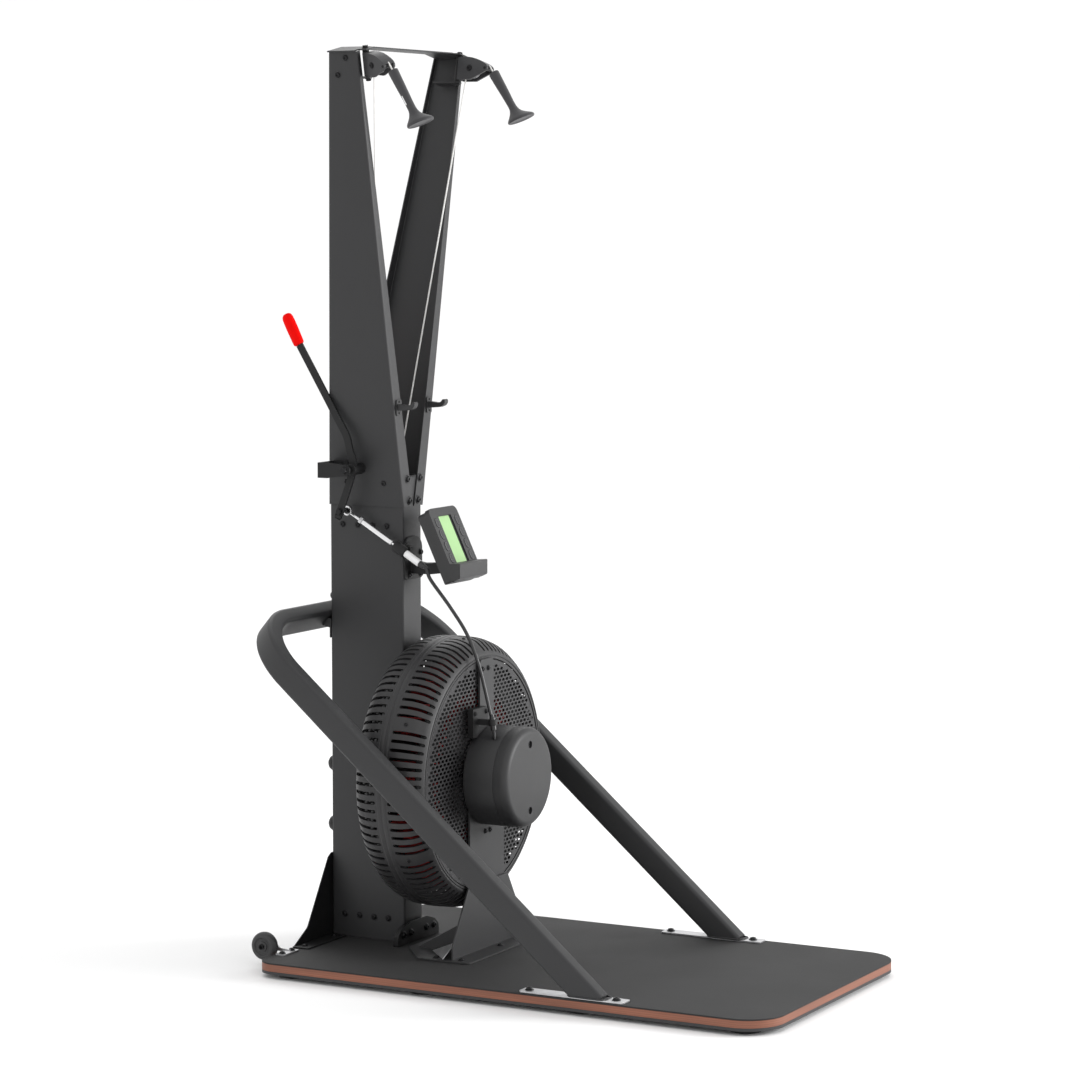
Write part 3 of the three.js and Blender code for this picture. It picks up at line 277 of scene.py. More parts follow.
class Build:
    """Collects closed solids, as world points in metres, for one piece."""

    def __init__(self):
        self.verts, self.faces = [], []

    def point(self, p):
        self.verts.append(Vector(p))
        return len(self.verts) - 1

    def face(self, ids):
        self.faces.append(tuple(ids))

    def strip(self, rings, closed=False):
        """Skins neighbouring rings; a ring of one point closes to a tip."""
        pairs = list(zip(rings, rings[1:])) + ([(rings[-1], rings[0])] if closed else [])
        for lo, hi in pairs:
            n = max(len(lo), len(hi))
            for i in range(n):
                j = (i + 1) % n
                if len(lo) == 1:
                    self.face((lo[0], hi[j], hi[i]))
                elif len(hi) == 1:
                    self.face((lo[i], lo[j], hi[0]))
                else:
                    self.face((lo[i], lo[j], hi[j], hi[i]))

    def loft(self, rings, caps=True):
        ids = [[self.point(p) for p in ring] for ring in rings]
        self.strip(ids)
        if caps:
            for end in (ids[0], ids[-1]):
                if len(end) > 1:
                    self.face(end)
        return self

    def prism(self, outline, lo, hi, plane):
        return self.loft([[plane(a, b, c) for a, b in outline] for c in (lo, hi)])

    def ring_prism(self, outer, inner, lo, hi, plane):
        """Prism with a hole; both outlines have the same number of points."""
        rings = [[self.point(plane(a, b, c)) for a, b in o]
                 for o, c in ((outer, lo), (outer, hi), (inner, hi), (inner, lo))]
        self.strip(rings, closed=True)
        return self

    def lathe(self, profile, place, segments=48, closed=False):
        """Turns (radius, height) points; place(u, v, height) gives the position."""
        rings = []
        for r, h in profile:
            if r < 1e-6:
                rings.append([self.point(place(0, 0, h))])
            else:
                rings.append([self.point(place(r * c, r * s, h)) for c, s in turns(segments)])
        self.strip(rings, closed)
        if not closed:
            for end in (rings[0], rings[-1]):
                if len(end) > 1:
                    self.face(end)
        return self

    def tube(self, path, radius, segments=16, tips=True):
        """Round bar along world points; radius is in mm, one for all or one for each point."""
        n = len(path)
        radii = radius if isinstance(radius, (list, tuple)) else [radius] * n
        tangent = [(path[min(i + 1, n - 1)] - path[max(i - 1, 0)]).normalized() for i in range(n)]
        side = tangent[0].orthogonal().normalized()
        rings = []
        for p, d, r in zip(path, tangent, radii):
            side = (side - d * side.dot(d)).normalized()
            other = d.cross(side)
            rings.append([p + (side * c + other * s) * (r / 1000) for c, s in turns(segments)])
        return self.loft(rings, caps=tips)

    def mesh(self, name):
        """What was collected, as a mesh with its faces pointing out."""
        mesh = bpy.data.meshes.new(name)
        mesh.from_pydata([tuple(v) for v in self.verts], [], self.faces)
        bm = bmesh.new()
        bm.from_mesh(mesh)
        bmesh.ops.remove_doubles(bm, verts=bm.verts, dist=1e-6)
        bmesh.ops.recalc_face_normals(bm, faces=bm.faces)
        bm.to_mesh(mesh)
        bm.free()
        return mesh

    def make(self, name, material, body="frame", slot="", bevel=0.0, steps=2, limit=32, replaces=(), cut=None,
             join=()):
        """Turns what was collected into one shown piece that rides on a body.

        The slot argument is not used. join holds
        closed solids that are fused with the piece, and cut holds the solids taken out of it."""
        if slot == "":
            slot = None if material in PLAIN else OWN_SLOT[material.name]
        obj = bpy.data.objects.new(name, self.mesh(name))
        bpy.context.scene.collection.objects.link(obj)
        tools = [(t, "UNION") for t in join] + ([(cut, "DIFFERENCE")] if cut else [])
        for tool, operation in tools:
            cutter = bpy.data.objects.new("tool", tool.mesh("tool"))
            bpy.context.scene.collection.objects.link(cutter)
            m = obj.modifiers.new("tool", "BOOLEAN")
            m.operation, m.solver, m.object = operation, "MANIFOLD", cutter
            bpy.context.view_layer.update()
            done = bpy.data.meshes.new_from_object(obj.evaluated_get(bpy.context.evaluated_depsgraph_get()))
            obj.modifiers.clear()
            obj.data = done
            bpy.data.objects.remove(cutter)
        mesh = obj.data
        mesh.name = name
        mesh.materials.clear()
        mesh.materials.append(material)
        mesh.shade_smooth()
        mesh.set_sharp_from_angle(angle=math.radians(limit))
        if bevel:
            b = obj.modifiers.new("edge", "BEVEL")
            b.width = bevel / 1000
            b.segments = steps
            b.limit_method = "ANGLE"
            b.angle_limit = math.radians(limit)
            b.harden_normals = True
        if body:
            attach(obj, body)
        if replaces:
            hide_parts(*replaces)
        return obj


def axes_for(normal):
    n = Vector(normal).normalized()
    u = n.orthogonal().normalized()
    return u, n.cross(u), n


def on_axis(centre, normal):
    """Placing function for parts turned about a line: mm round a world point."""
    u, v, n = axes_for(normal)
    return lambda a, b, h: centre + (u * a + v * b + n * h) / 1000


def along_x(cy, cz):
    return lambda a, b, h: P(h, cy + a, cz + b)


def along_y(cx, cz):
    return lambda a, b, h: P(cx + a, h, cz + b)


def hex_radius(q, flat):
    return flat / math.cos((q % (TAU / 6)) - TAU / 12)


def cap_screw(b, centre, normal, r, h, washer=True, segments=24):
    """Button head with a hexagon socket, on a thin washer."""
    place = on_axis(centre, normal)
    if washer:
        b.lathe([(0, 0), (r * 1.35, 0), (r * 1.35, 1.0), (r * 1.27, 1.3), (0, 1.3)], place, segments)
    lift = 1.3 if washer else 0.0
    rings = []
    for f, z in ((1.0, 0.0), (1.0, 0.35), (0.96, 0.62), (0.86, 0.84), (0.7, 0.97), (0.56, 1.0)):
        rings.append([place(r * f * c, r * f * s, lift + z * h) for c, s in turns(segments)])
    for z in (0.96, 0.4):
        ring = []
        for i in range(segments):
            q = TAU * i / segments
            k = hex_radius(q, 0.4 * r)
            ring.append(place(k * math.cos(q), k * math.sin(q), lift + z * h))
        rings.append(ring)
    b.loft(rings)


def screws(name, centres, normal, r, h, **look):
    """One fixed piece holding alike cap screws."""
    b = Build()
    for centre in centres:
        cap_screw(b, centre, normal, r, h, **look)
    b.make(name, BOLT)


def hex_nut(b, centre, normal, flat, h, bore=0.0, washer=True):
    """Chamfered hexagon head or nut, with a stud end if bore is given."""
    place = on_axis(centre, normal)
    if washer:
        b.lathe([(0, 0), (flat * 1.45, 0), (flat * 1.45, 1.2), (flat * 1.38, 1.5), (0, 1.5)], place, 24)
    lift = 1.5 if washer else 0.0
    rings = []
    for k, z in ((0.93, 0.0), (1.0, 0.12), (1.0, 0.85), (0.9, 1.0)):
        ring = []
        for i in range(36):
            q = TAU * i / 36
            rad = min(hex_radius(q, flat), flat * 1.1547 * (1 if k == 1.0 else k))
            ring.append(place(rad * math.cos(q), rad * math.sin(q), lift + z * h))
        rings.append(ring)
    b.loft(rings)
    if bore:
        end = lift + h + 3
        b.lathe([(0, lift), (bore, lift), (bore, end - 0.8), (bore - 0.7, end), (0, end)], place, 20)


# ------------------------------------------------------------ platform
def platform_outline(inset=0.0, n=14):
    x0, x1, y = -1290 + inset, -inset, 380 - inset
    return rounded(rect(x0, x1, -y, y), [45, 90, 90, 45], n)


for label, z0, z1, mat, slot, node in (
        ("deck_base", 0, 6.8, DECK_LOW, "deck_base", "platform_bottom"),
        ("deck_core", 7, 23.4, WOOD, "wood_core", "platform_core"),
        ("deck_top", 23.6, 27, DECK, "deck_skin", "platform_top")):
    Build().prism(platform_outline(), z0, z1, XY).make(
        label, mat, "frame", slot, bevel=0.9 if mat is DECK else 0.4, replaces=(node,))

for side, sign in SIDES:
    for i, x in enumerate((-78, -470, -875, -1220), 1):
        b = Build()
        profile = [(0, -0.2), (38, -0.2), (38, -7.5), (36.5, -9.6), (34.5, -10), (27, -10), (26, -9),
                   (25, -10), (9, -10), (7.5, -6), (0, -6)]
        b.lathe(profile, lambda u, v, h, x=x: P(x + u, sign * 320 + v, h), 48)
        b.make(f"rubber_foot_{side}_{i}", FOOT, bevel=0.5, replaces=(f"foot_{side}_{i}",))

# ------------------------------------------------------------ column
back, front = -1287.3, -1087.7  # just clear of the column's faces
ON_DECK = 27.3  # just clear of the platform's top
b = Build()
b.ring_prism(rounded(rect(-1287, -1088, -42.5, 42.5), 6, 6), rounded(rect(-1284, -1091, -39.5, 39.5), 3, 6),
             ON_DECK, 1127, XY)
b.make("post", COAT, bevel=0.5, limit=45, replaces=("column",))

b = Build()
upright = symmetric([(216, ON_DECK), (152, 64), (58, 216), (44, 225)], [1, 18, 10, 8], 4)
b.prism(upright, back - 2.6, back, YZ)
for sign in (-1, 1):
    y0, y1 = sorted((sign * 43.5, sign * 216))
    b.prism(rounded(rect(back - 2.6, -1246, y0, y1), [0.5, 5, 5, 0.5], 4), ON_DECK, 30.3, XY)
b.make("post_foot_rear", COAT_DARK, bevel=0.6, replaces=("column_foot_rear",))

b = Build()
shield = symmetric([(96, ON_DECK), (96, 50), (78, 66), (40, 78)], [1, 14, 20, 30], 5)
b.prism(shield, front + 9, front + 13, YZ)
b.prism(rounded(rect(front, front + 12, -96, 96), 1, 3), ON_DECK, 31.3, XY)
for sign in (-1, 1):
    side = [(96, 27.4), (96, 50), (78, 66), (58, 72.5)]
    line = [(sign * y, z) for y, z in side] + [(sign * (y - 2.5), z - 1.5) for y, z in reversed(side)]
    b.prism(line, front + 0.4, front + 9.5, YZ)
b.make("post_foot_front", COAT_DARK, bevel=0.7, replaces=("column_foot_front",))

b = Build()
for sign in (-1, 1):
    for x in (-1252, -1211, -1171, -1132):
        cap_screw(b, P(x, sign * 42.5, 1009), (0, sign, 0), 5.6, 3)
        cap_screw(b, P(x, sign * 42.5, 81), (0, sign, 0), 5.6, 3)
for y in (-70, -36, 36, 70):
    cap_screw(b, P(front + 13, y, 52), (1, 0, 0), 7, 4.5)
for y in (-196, -64, 64, 196):
    cap_screw(b, P(-1269, y, 30.3), (0, 0, 1), 6, 3)
for z in (838, 748):
    for y in (-28, 28):
        cap_screw(b, P(-1287, y, z), (-1, 0, 0), 8, 5)
b.make("post_screws", BOLT)

b = Build()
for z in (433, 288):
    profile = [(0, -0.4), (21.5, -0.4), (21.5, 6), (21, 12), (19, 19), (15.5, 25), (10, 29), (5, 30.6),
               (0, 31)]
    b.lathe(profile, on_axis(P(-1287, 0, z), (-1, 0, 0)), 40)
b.make("post_domes", COAT_DARK, bevel=0.6)


# ------------------------------------------------------------ splayed channel arms
SPLAY_SLOPE = 0.1915
ARM_FRONT = -1084.6
ARM_BOTTOM, ARM_TOP = 1055, 2096


def arm_outer(z):
    return 46 + SPLAY_SLOPE * (z - ARM_BOTTOM)


def arm_inner(z):
    return 3 + 0.2205 * (z - ARM_BOTTOM)


def arm_back(z):
    return -1418.4 + 0.12302 * z


def plate_underside(y):
    """Height just below the top plate's sloping end."""
    return 2097 + (251.1 - y) * SPLAY_SLOPE


def arm_section(z, bend=5.0, n=5):
    """Outer line of the folded sheet at one height: rear lip, web, front lip."""
    corners = [(arm_back(z), arm_inner(z)), (arm_back(z), arm_outer(z)),
               (ARM_FRONT, arm_outer(z)), (ARM_FRONT, arm_inner(z))]
    out = [corners[0]]
    for i in (1, 2):
        out += arc_corner(corners[i - 1], corners[i], corners[i + 1], bend, n)
    out.append(corners[3])
    return out


def arm_skin(sign, thick=3.0):
    """Folded sheet as one closed solid: the outer line of each level and the same line moved inwards."""
    rings = []
    for z in (ARM_BOTTOM, ARM_TOP):
        line = arm_section(z)
        outer, inner = [], []
        for k, (x, y) in enumerate(line):
            d = (Vector(line[min(k + 1, len(line) - 1)]) - Vector(line[max(k - 1, 0)])).normalized()
            xi, yi = x + d.y * thick, y - d.x * thick
            outer.append(P(x, sign * y, z if z < ARM_TOP else plate_underside(y)))
            inner.append(P(xi, sign * yi, z if z < ARM_TOP else plate_underside(yi)))
        rings.append(outer + inner[::-1])
    return Build().loft(rings)


for side, sign in SIDES:
    notch = Build()
    y0, y1 = sorted((sign * -2, sign * (arm_outer(ARM_BOTTOM) - 4.5)))
    notch.prism(rect(-1300, -1270, y0, y1), 1040, 1129, XY)
    arm_skin(sign).make(f"mast_{side}", COAT, bevel=0.5, limit=50,
                        replaces=(f"arm_{side}",), cut=notch)

b = Build()
for sign in (-1, 1):
    normal = (0, sign, -SPLAY_SLOPE)
    for x, z in ((-1116.7, 2084.4), (-1141.5, 2046.5), (-1232, 1110), (-1132, 1110)):
        cap_screw(b, P(x, sign * arm_outer(z), z), normal, 6.5, 3.5, washer=False)
    for y, z in ((29, 1120), (20, 1069)):
        cap_screw(b, P(ARM_FRONT, sign * y, z), (1, 0, 0), 7.5, 4.5)
    for y, z in ((4, 1126), (4, 1062)):
        b.lathe(pin(2.6, -0.4, 0.25), on_axis(P(ARM_FRONT, sign * (y + 2), z), (1, 0, 0)), 16)
b.make("mast_screws", BOLT)


# ------------------------------------------------------------ arm heads' frames
SPLAY = math.atan(SPLAY_SLOPE)
PIN = (-1080, 209.6, 2072)
SWING = {"near": -25, "far": -4}  # degrees that the photo shows each head turned
POMMEL_SKEW = {"near": 0.05, "far": 0.3}


def head_frame(sign, swing=0):
    """Forward, sideways and up along one arm's swivel pin."""
    turn = Matrix.Rotation(-sign * SPLAY, 3, "X") @ Matrix.Rotation(math.radians(swing), 3, "Z")
    pin = Vector((PIN[0], sign * PIN[1], PIN[2]))
    return lambda f, o, h: P(*(pin + turn @ Vector((f, o, h))))


def tilted(o, h):
    """Outboard and up in an arm's tilted frame, as y and z."""
    c, s = math.cos(SPLAY), math.sin(SPLAY)
    return (PIN[1] + o * c + h * s, PIN[2] - o * s + h * c)


# ------------------------------------------------------------ top plate and swivel shelves
low_out, high_out, high_in = tilted(36, 32.5), tilted(36, 35.5), tilted(-27, 35.5)
half = [low_out, high_out, high_in]
profile = half + [(-y, z) for y, z in reversed(half)]
profile += [(-tilted(-27, 32.5)[0], high_in[1] - 3), (tilted(-27, 32.5)[0], high_in[1] - 3)]
outside = Build()
outside.prism(rect(-1090, -1030, -300, -232), 2000, 2200, XY)
outside.prism(rect(-1090, -1030, 232, 300), 2000, 2200, XY)
outside.prism(rounded(rect(-1086, -1030, -196, 196), [5, 0, 0, 5], 4), 2000, 2200, XY)
for side, sign in SIDES:
    at = head_frame(sign)
    outside.lathe([(4.6, 20), (4.6, 60)], lambda u, v, h, at=at: at(u, v, h), 24)
b = Build().prism(rounded(profile, [0.3, 0.3, 6, 6, 0.3, 0.3, 3, 3], 5), -1160, -1068, YZ)
b.make("bridge_plate", COAT, bevel=0.5, limit=40, replaces=("top_plate",), cut=outside)

for side, sign in SIDES:
    at = head_frame(sign)
    edge = [(-62, 8), (9, 8), (9, -9), (-8.8, -12), (-8.8, -24.5), (-62, -24.5)]
    edge = rounded([(f, -sign * o) for f, o in edge], [1, 8, 8, 3, 2, 2], 5)
    hole = Build().lathe([(4.6, -50), (4.6, -20)], at, 24)
    Build().prism(edge, -32.4, -29.4, at).make(f"swivel_shelf_{side}", COAT, bevel=0.5,
                                               replaces=(f"shelf_{side}",), cut=hole)

# ------------------------------------------------------------ pulley heads
CHEEK = [(7, 27), (30, 27.5), (46, 25), (60, 21), (74, 15), (85, 9), (90.5, 2), (90, -4), (85, -9),
         (46, -27), (20, -26.5), (7, -26)]
CHEEK_RADII = [1.5, 80, 80, 80, 60, 20, 6, 5, 10, 9, 30, 1.5]
HOLLOW = [(12, 22), (30, 23.5), (46, 21.5), (60, 17.5), (74, 11.5), (86, 4), (110, 4), (110, -60), (12, -60)]
AXLE_F = 40
ROLLER = (82.7, -0.6)

def white_strip_outline():
    """Thin strip along the handle, with round ends."""
    run, rise = Vector((0.588, -0.809)), Vector((0.809, 0.588))
    middle, reach, end_r = Vector((147, -74)), 10.4, 1.7
    return [tuple(middle + run * ((reach if c > 0 else -reach) + end_r * c) + rise * (end_r * s))
            for c, s in turns(20)]


for side, sign in SIDES:
    at = head_frame(sign, SWING[side])

    def FH(a, b, c, at=at):
        return at(a, c, b)

    def on_o(cf, ch, at=at):
        return lambda u, v, w: at(cf + u, w, ch + v)

    body = Build().prism(rounded(CHEEK, CHEEK_RADII, 5), -15, 15, FH)
    hollow = Build().prism(rounded(HOLLOW, [3, 30, 30, 30, 20, 8, 0, 0, 0], 4), -10.5, 10.5, FH)
    body.make(f"pulley_cheeks_{side}", HEAD, f"head_{side}", "black_coat", bevel=1.1, steps=3,
              replaces=(f"pulley_head_{side}",), cut=hollow)
    b = Build()
    b.prism(rounded(rect(-1, 9, -7.2, 7.2), 1, 3), -25.6, 26.6, at)
    b.lathe(pin(7.8, -28.6, 31.5, 0.6), at, 40)
    b.make(f"pulley_hinge_{side}", COAT_DARK, f"head_{side}", bevel=0.4)
    b = Build()
    up = (at(0, 0, 1) - at(0, 0, 0)).normalized()
    across = (at(0, 1, 0) - at(0, 0, 0)).normalized()
    b.lathe(pin(4, -39.4, 36.4), at, 24)
    hex_nut(b, at(0, 0, 35.8), up, 5.6, 4.4)
    hex_nut(b, at(0, 0, -32.9), -up, 5.4, 4.4)
    for way in (-1, 1):
        cap_screw(b, at(AXLE_F, way * 15, 0), across * way, 5.6, 2.2, segments=28)
        b.lathe([(0, way * 14.8), (3.2, way * 14.8), (3.2, way * 15.8), (2.6, way * 16.2), (0, way * 16.2)],
                on_o(*ROLLER), 20)
    b.make(f"pulley_bolts_{side}", BOLT, f"head_{side}")
    b = Build()
    roller = mirrored([(2.6, -9.8), (5.4, -9.8), (5.9, -9), (5.5, -6), (5.4, 0)])
    b.lathe(roller, on_o(*ROLLER), 32, closed=True)
    b.make(f"guide_roller_{side}", BOLT, f"head_{side}")

    b = Build()
    rim = [(5, -8.5), (11, -8.5), (11.6, -7.2), (17, -7.2), (18, -8.5), (20.4, -8.5), (21, -7.9),
           (20.4, -5.6), (17, -2.6), (15.6, -1.6), (15, 0)]
    b.lathe(mirrored(rim), on_o(AXLE_F, 0), 64, closed=True)
    b.lathe(pin(3.4, -14, 14), on_o(AXLE_F, 0), 24)
    b.make(f"grooved_sheave_{side}", STEEL, f"sheave_{side}", bevel=0.2,
           replaces=(f"pulley_sheave_{side}",))

    # Pull handle: a tapering grip that flares into a canted pommel.
    # Its stations are forward, up, half height, half width and lean in degrees.
    path = [Vector(v) for v in (
        (100.6, -12, 12.6, 11.5, 51), (106, -19, 12.4, 11.4, 52), (120, -38, 11.6, 10.8, 54),
        (138, -62, 10.4, 10, 56), (154, -84, 9.3, 9.6, 58), (164, -97, 9.8, 10.4, 62),
        (171, -106, 13.5, 15, 64), (178, -112, 20, 22, 66), (185.5, -118, 29, 29.5, 67),
        (188, -122, 31, 31, 67), (189.5, -124.5, 30, 30, 67))]
    top = [(0, 0, -2.2), (0.4, -0.5, -0.6)]
    pommel = [(-0.3, -0.2, -1.6), (-1.6, 0.6, -3.6), (-2.6, 1.2, -12)]
    rings = []
    stations = [path[0] + Vector((f, h, r, r, 0)) for f, h, r in top] + spline(path, 5)[1:]
    stations += [path[-1] + Vector((f, h, r, r, 0)) for f, h, r in pommel]
    for f, h, a, w, lean in stations:
        t = math.radians(90 - lean)
        flare = min(1, max(0, (f - 160) / 24))
        flare = flare * flare * (3 - 2 * flare) * POMMEL_SKEW[side]
        ring = []
        for c, s in turns(40):
            u, o = a * c, w * s
            ring.append(at(f + u * math.cos(t), o, h + u * math.sin(t) + flare * o))
        rings.append(ring)
    Build().loft(rings).make(f"pull_handle_{side}", RUBBER, f"handle_{side}", "handle_grip", limit=50,
                             replaces=(f"handle_{side}",))
    if side == "near":
        # White strips along both faces of the near handle.
        b = Build()
        b.prism(white_strip_outline(), -10.2, -9.0, FH)
        b.prism(white_strip_outline(), 9.0, 10.2, FH)
        b.make("handle_white_strip_near", WHITE, "handle_near", bevel=0.3)
    b = Build()
    down = (at(0.6, 0, -0.8) - at(0, 0, 0)).normalized()
    b.lathe([(0, -1.8), (3, -1.8), (3.6, -1.2), (3.8, 1.6), (0, 1.6)], on_axis(at(100.6, 0, -12), down), 28)
    b.make(f"handle_ferrule_{side}", CABLE, f"handle_{side}")

# ------------------------------------------------------------ drive cords
CORD_R = 1.8
DRUM_Y = 23  # each cord's distance from the middle, inside the column
NEAR_CORD_SHIFT = 16
SHEAVE_LINE = 17
ROLLER_LINE = 7.5


def cord_line(z):
    return -1060 - 0.094 * (2043.5 - z), 198.6 - 0.181 * (2043.5 - z)


for side, sign in SIDES:
    at = head_frame(sign, SWING[side])
    x_low, y_low = cord_line(1130)
    x_low -= NEAR_CORD_SHIFT if side == "near" else 0
    bottom = P(x_low - 4, sign * DRUM_Y, 452)
    lower = P(x_low - 4, sign * DRUM_Y, 700)
    bend = P(x_low, sign * y_low, 1130)
    head = at(23, 0, -30)
    line = [bottom, bottom.lerp(lower, 0.5)]
    line += [lower.lerp(bend, i / 6) for i in range(7)]
    line += [bend.lerp(head, i / 40) for i in range(1, 41)]
    Build().tube(line, CORD_R, 14).make(f"drive_cord_run_{side}", CORD, None,
                                        replaces=(f"drive_cord_{side}",))
    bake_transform(bpy.data.objects[f"drive_cord_run_{side}"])

    # Over the sheave, under the nose roller and out towards the handle.
    over = [(23, -30), (23, -18), (23, -8)]
    start, stop = math.pi, math.atan2(16.5, 4.0)
    over += [(AXLE_F + SHEAVE_LINE * math.cos(start + (stop - start) * i / 16),
              SHEAVE_LINE * math.sin(start + (stop - start) * i / 16)) for i in range(17)]
    start, stop = math.atan2(7.3, 1.8), math.atan2(0.6, 0.8)
    over += [(ROLLER[0] + ROLLER_LINE * math.cos(start + (stop - start) * i / 8),
              ROLLER[1] + ROLLER_LINE * math.sin(start + (stop - start) * i / 8)) for i in range(9)]
    Build().tube([at(f, 0, h) for f, h in over], CORD_R, 14).make(
        f"drive_cord_head_{side}", CORD, f"head_{side}")
    out = Vector((ROLLER[0] + ROLLER_LINE * 0.8, ROLLER[1] + ROLLER_LINE * 0.6))
    ends = (at(out.x, 0, out.y), at(out.x + 0.6 * 20.5, 0, out.y - 0.8 * 20.5))
    Build().tube([ends[0].lerp(ends[1], i / 24) for i in range(25)], CORD_R, 14).make(
        f"pull_cord_{side}", CORD, None)
    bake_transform(bpy.data.objects[f"pull_cord_{side}"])

# ------------------------------------------------------------ handle rests
for side, sign in SIDES:
    x0, y = ARM_FRONT + 0.3, sign * 70
    plate = Build().prism(rounded(rect(y - 11, y + 11, 1270, 1307), 4, 5), x0, x0 + 3, YZ)
    curl = [(0, 1282), (18, 1282.6), (34, 1284), (44, 1288), (48.5, 1294), (49, 1300), (46.5, 1303),
            (42.5, 1302.5), (39.5, 1298.5), (36, 1295.4), (30, 1294.2), (16, 1295.6), (0, 1297)]
    finger = Build().prism([(x0 + a, z) for a, z in rounded(curl, 3, 3)], y - 8, y + 8, XZ)
    plate.make(f"handle_rest_{side}", HOOKS, bevel=1.2, steps=3, replaces=(f"hook_{side}",),
               join=(finger,))
    screws(f"handle_rest_screws_{side}", [P(x0 + 3, y, z) for z in (1275.5, 1302)], (1, 0, 0), 2.6, 1.6,
           washer=False, segments=18)

# ------------------------------------------------------------ bent tube brace
BRACE_ANGLE = math.radians(40.65)
BRACE_FOOT_X = -483
BRACE_DEPTH, BRACE_WIDTH, BRACE_OUTER, BRACE_REACH, BRACE_BEND = 60, 40, 376, 1147.5, 150
PLATE_TOP = 31.6


def brace_point(along, up, y):
    c, s = math.cos(BRACE_ANGLE), math.sin(BRACE_ANGLE)
    return P(BRACE_FOOT_X - along * c + up * s, y, PLATE_TOP + along * s + up * c)


half_w = BRACE_WIDTH / 2
line_y = BRACE_OUTER - half_w
far = BRACE_REACH - half_w
straight = far - BRACE_BEND
centre = [(-60, -line_y, 0, 1), (straight, -line_y, 0, 1)]
for i in range(1, 28):
    q = i / 28 * math.pi / 2
    centre.append((straight + BRACE_BEND * math.sin(q), -line_y + BRACE_BEND * (1 - math.cos(q)), math.sin(q),
                   math.cos(q)))
centre.append((far, -line_y + BRACE_BEND, 1, 0))
centre += [(a, -y, s, -c) for a, y, s, c in reversed(centre)]
section = rounded([(half_w, 0), (half_w, BRACE_DEPTH), (-half_w, BRACE_DEPTH), (-half_w, 0)], 9, 6)
b = Build().loft([[brace_point(a - w * s, u, y + w * c) for w, u in section] for a, y, s, c in centre])
under = Build().prism(rect(-1200, 300, -500, 500), -400, PLATE_TOP, XY)
b.make("brace_tube", COAT, limit=40, replaces=("brace",), cut=under)

for side, sign in SIDES:
    y0, y1 = sorted((sign * (line_y - 19), sign * (line_y + 19)))
    b = Build().prism(rounded(rect(-604, -345, y0, y1), 7, 6), ON_DECK, 31.2, XY)
    b.make(f"brace_plate_{side}", ZINC, bevel=0.6, replaces=(f"brace_foot_{side}",))
    screws(f"brace_bolts_{side}", [P(x, sign * line_y, 31.2) for x in (-371, -586)], (0, 0, 1), 7.5, 4.8)
    # Weld bead round the foot of the leg.
    loop = []
    for w, u in section:
        k = u * math.cos(BRACE_ANGLE) / math.sin(BRACE_ANGLE)
        loop.append(P(BRACE_FOOT_X + u * math.sin(BRACE_ANGLE) + k * math.cos(BRACE_ANGLE),
                      sign * line_y + w, PLATE_TOP + 0.4))
    ring = spline(loop, 2, closed=True)
    b = Build()
    n = len(ring)
    rings = []
    for i, p in enumerate(ring):
        d = (ring[(i + 1) % n] - ring[i - 1]).normalized()
        side_way = d.cross(Vector((0, 0, 1)))
        r = 2.2 + 0.25 * math.sin(i * 1.9)
        rings.append([b.point(p + (side_way * c + Vector((0, 0, 1)) * s) * (r / 1000)) for c, s in turns(8)])
    b.strip(rings, closed=True)
    b.make(f"brace_weld_{side}", COAT, limit=80)

inner_low = brace_point(BRACE_REACH - BRACE_WIDTH, 0, 0)
inner_high = brace_point(BRACE_REACH - BRACE_WIDTH, BRACE_DEPTH, 0)
face_slope = (inner_high.x - inner_low.x) / (inner_high.z - inner_low.z)


def brace_face(z):
    """x of the cross tube's front face at height z."""
    low_x = (inner_low.x - FRONT_X) * 1000
    low_z = (inner_low.z - UNDERSIDE_Z) * 1000
    return low_x + face_slope * (z - low_z) + 0.5


wedge = [(back, 738), (back, 784), (brace_face(784), 784), (brace_face(766), 766), (back - 4, 762),
         (back - 4, 738)]
b = Build().prism(wedge, -41, 41, XZ)
b.make("brace_saddle", COAT, bevel=0.8, replaces=("brace_mount",))

# ------------------------------------------------------------ fan guard
FAN_Z = 438
FAN_BACK, FAN_FRONT = -1080, -897
HUB_BACK, HUB_SEAM, HUB_FRONT = -889, -811.5, -775
GUARD_SLOTS = 96
GUARD_BOSS = 8  # the slot in each sixth of the guard that gives way to a screw boss
BLADES = 48
BOSS_ROW = -974  # back end of the front row of slots
fan_axis = along_x(0, FAN_Z)

outer = [(150, FAN_BACK), (262, FAN_BACK), (290, FAN_BACK + 9), (308, FAN_BACK + 28), (316, FAN_BACK + 52),
         (316, FAN_FRONT - 52), (308, FAN_FRONT - 27), (291, FAN_FRONT - 7), (280, FAN_FRONT)]
lip = [(276.6, FAN_FRONT), (276, FAN_FRONT - 1.6), (274, FAN_FRONT - 1.6), (273.4, FAN_FRONT),
       (268.3, FAN_FRONT), (268.3, FAN_FRONT - 4)]
inner = [(279, FAN_FRONT - 5), (289, FAN_FRONT - 12), (304.6, FAN_FRONT - 30), (312.4, FAN_FRONT - 53),
         (312.4, FAN_BACK + 53), (304.6, FAN_BACK + 31), (287, FAN_BACK + 12.5), (262, FAN_BACK + 4),
         (150, FAN_BACK + 4)]
outer_radii = [0.5, 40, 50, 40, 60, 60, 40, 50, 12]
lip_radii = [0.5, 0, 0, 0.5, 1, 0.5]
inner_radii = [10, 40, 36, 50, 50, 36, 40, 30, 0.5]
guard_line = rounded(outer + lip + inner, outer_radii + lip_radii + inner_radii, 5)
PITCH_Y, PITCH_Z = 17.4, 9.1
HOLE_REACH, HOLE_R = 3.0, 3.35


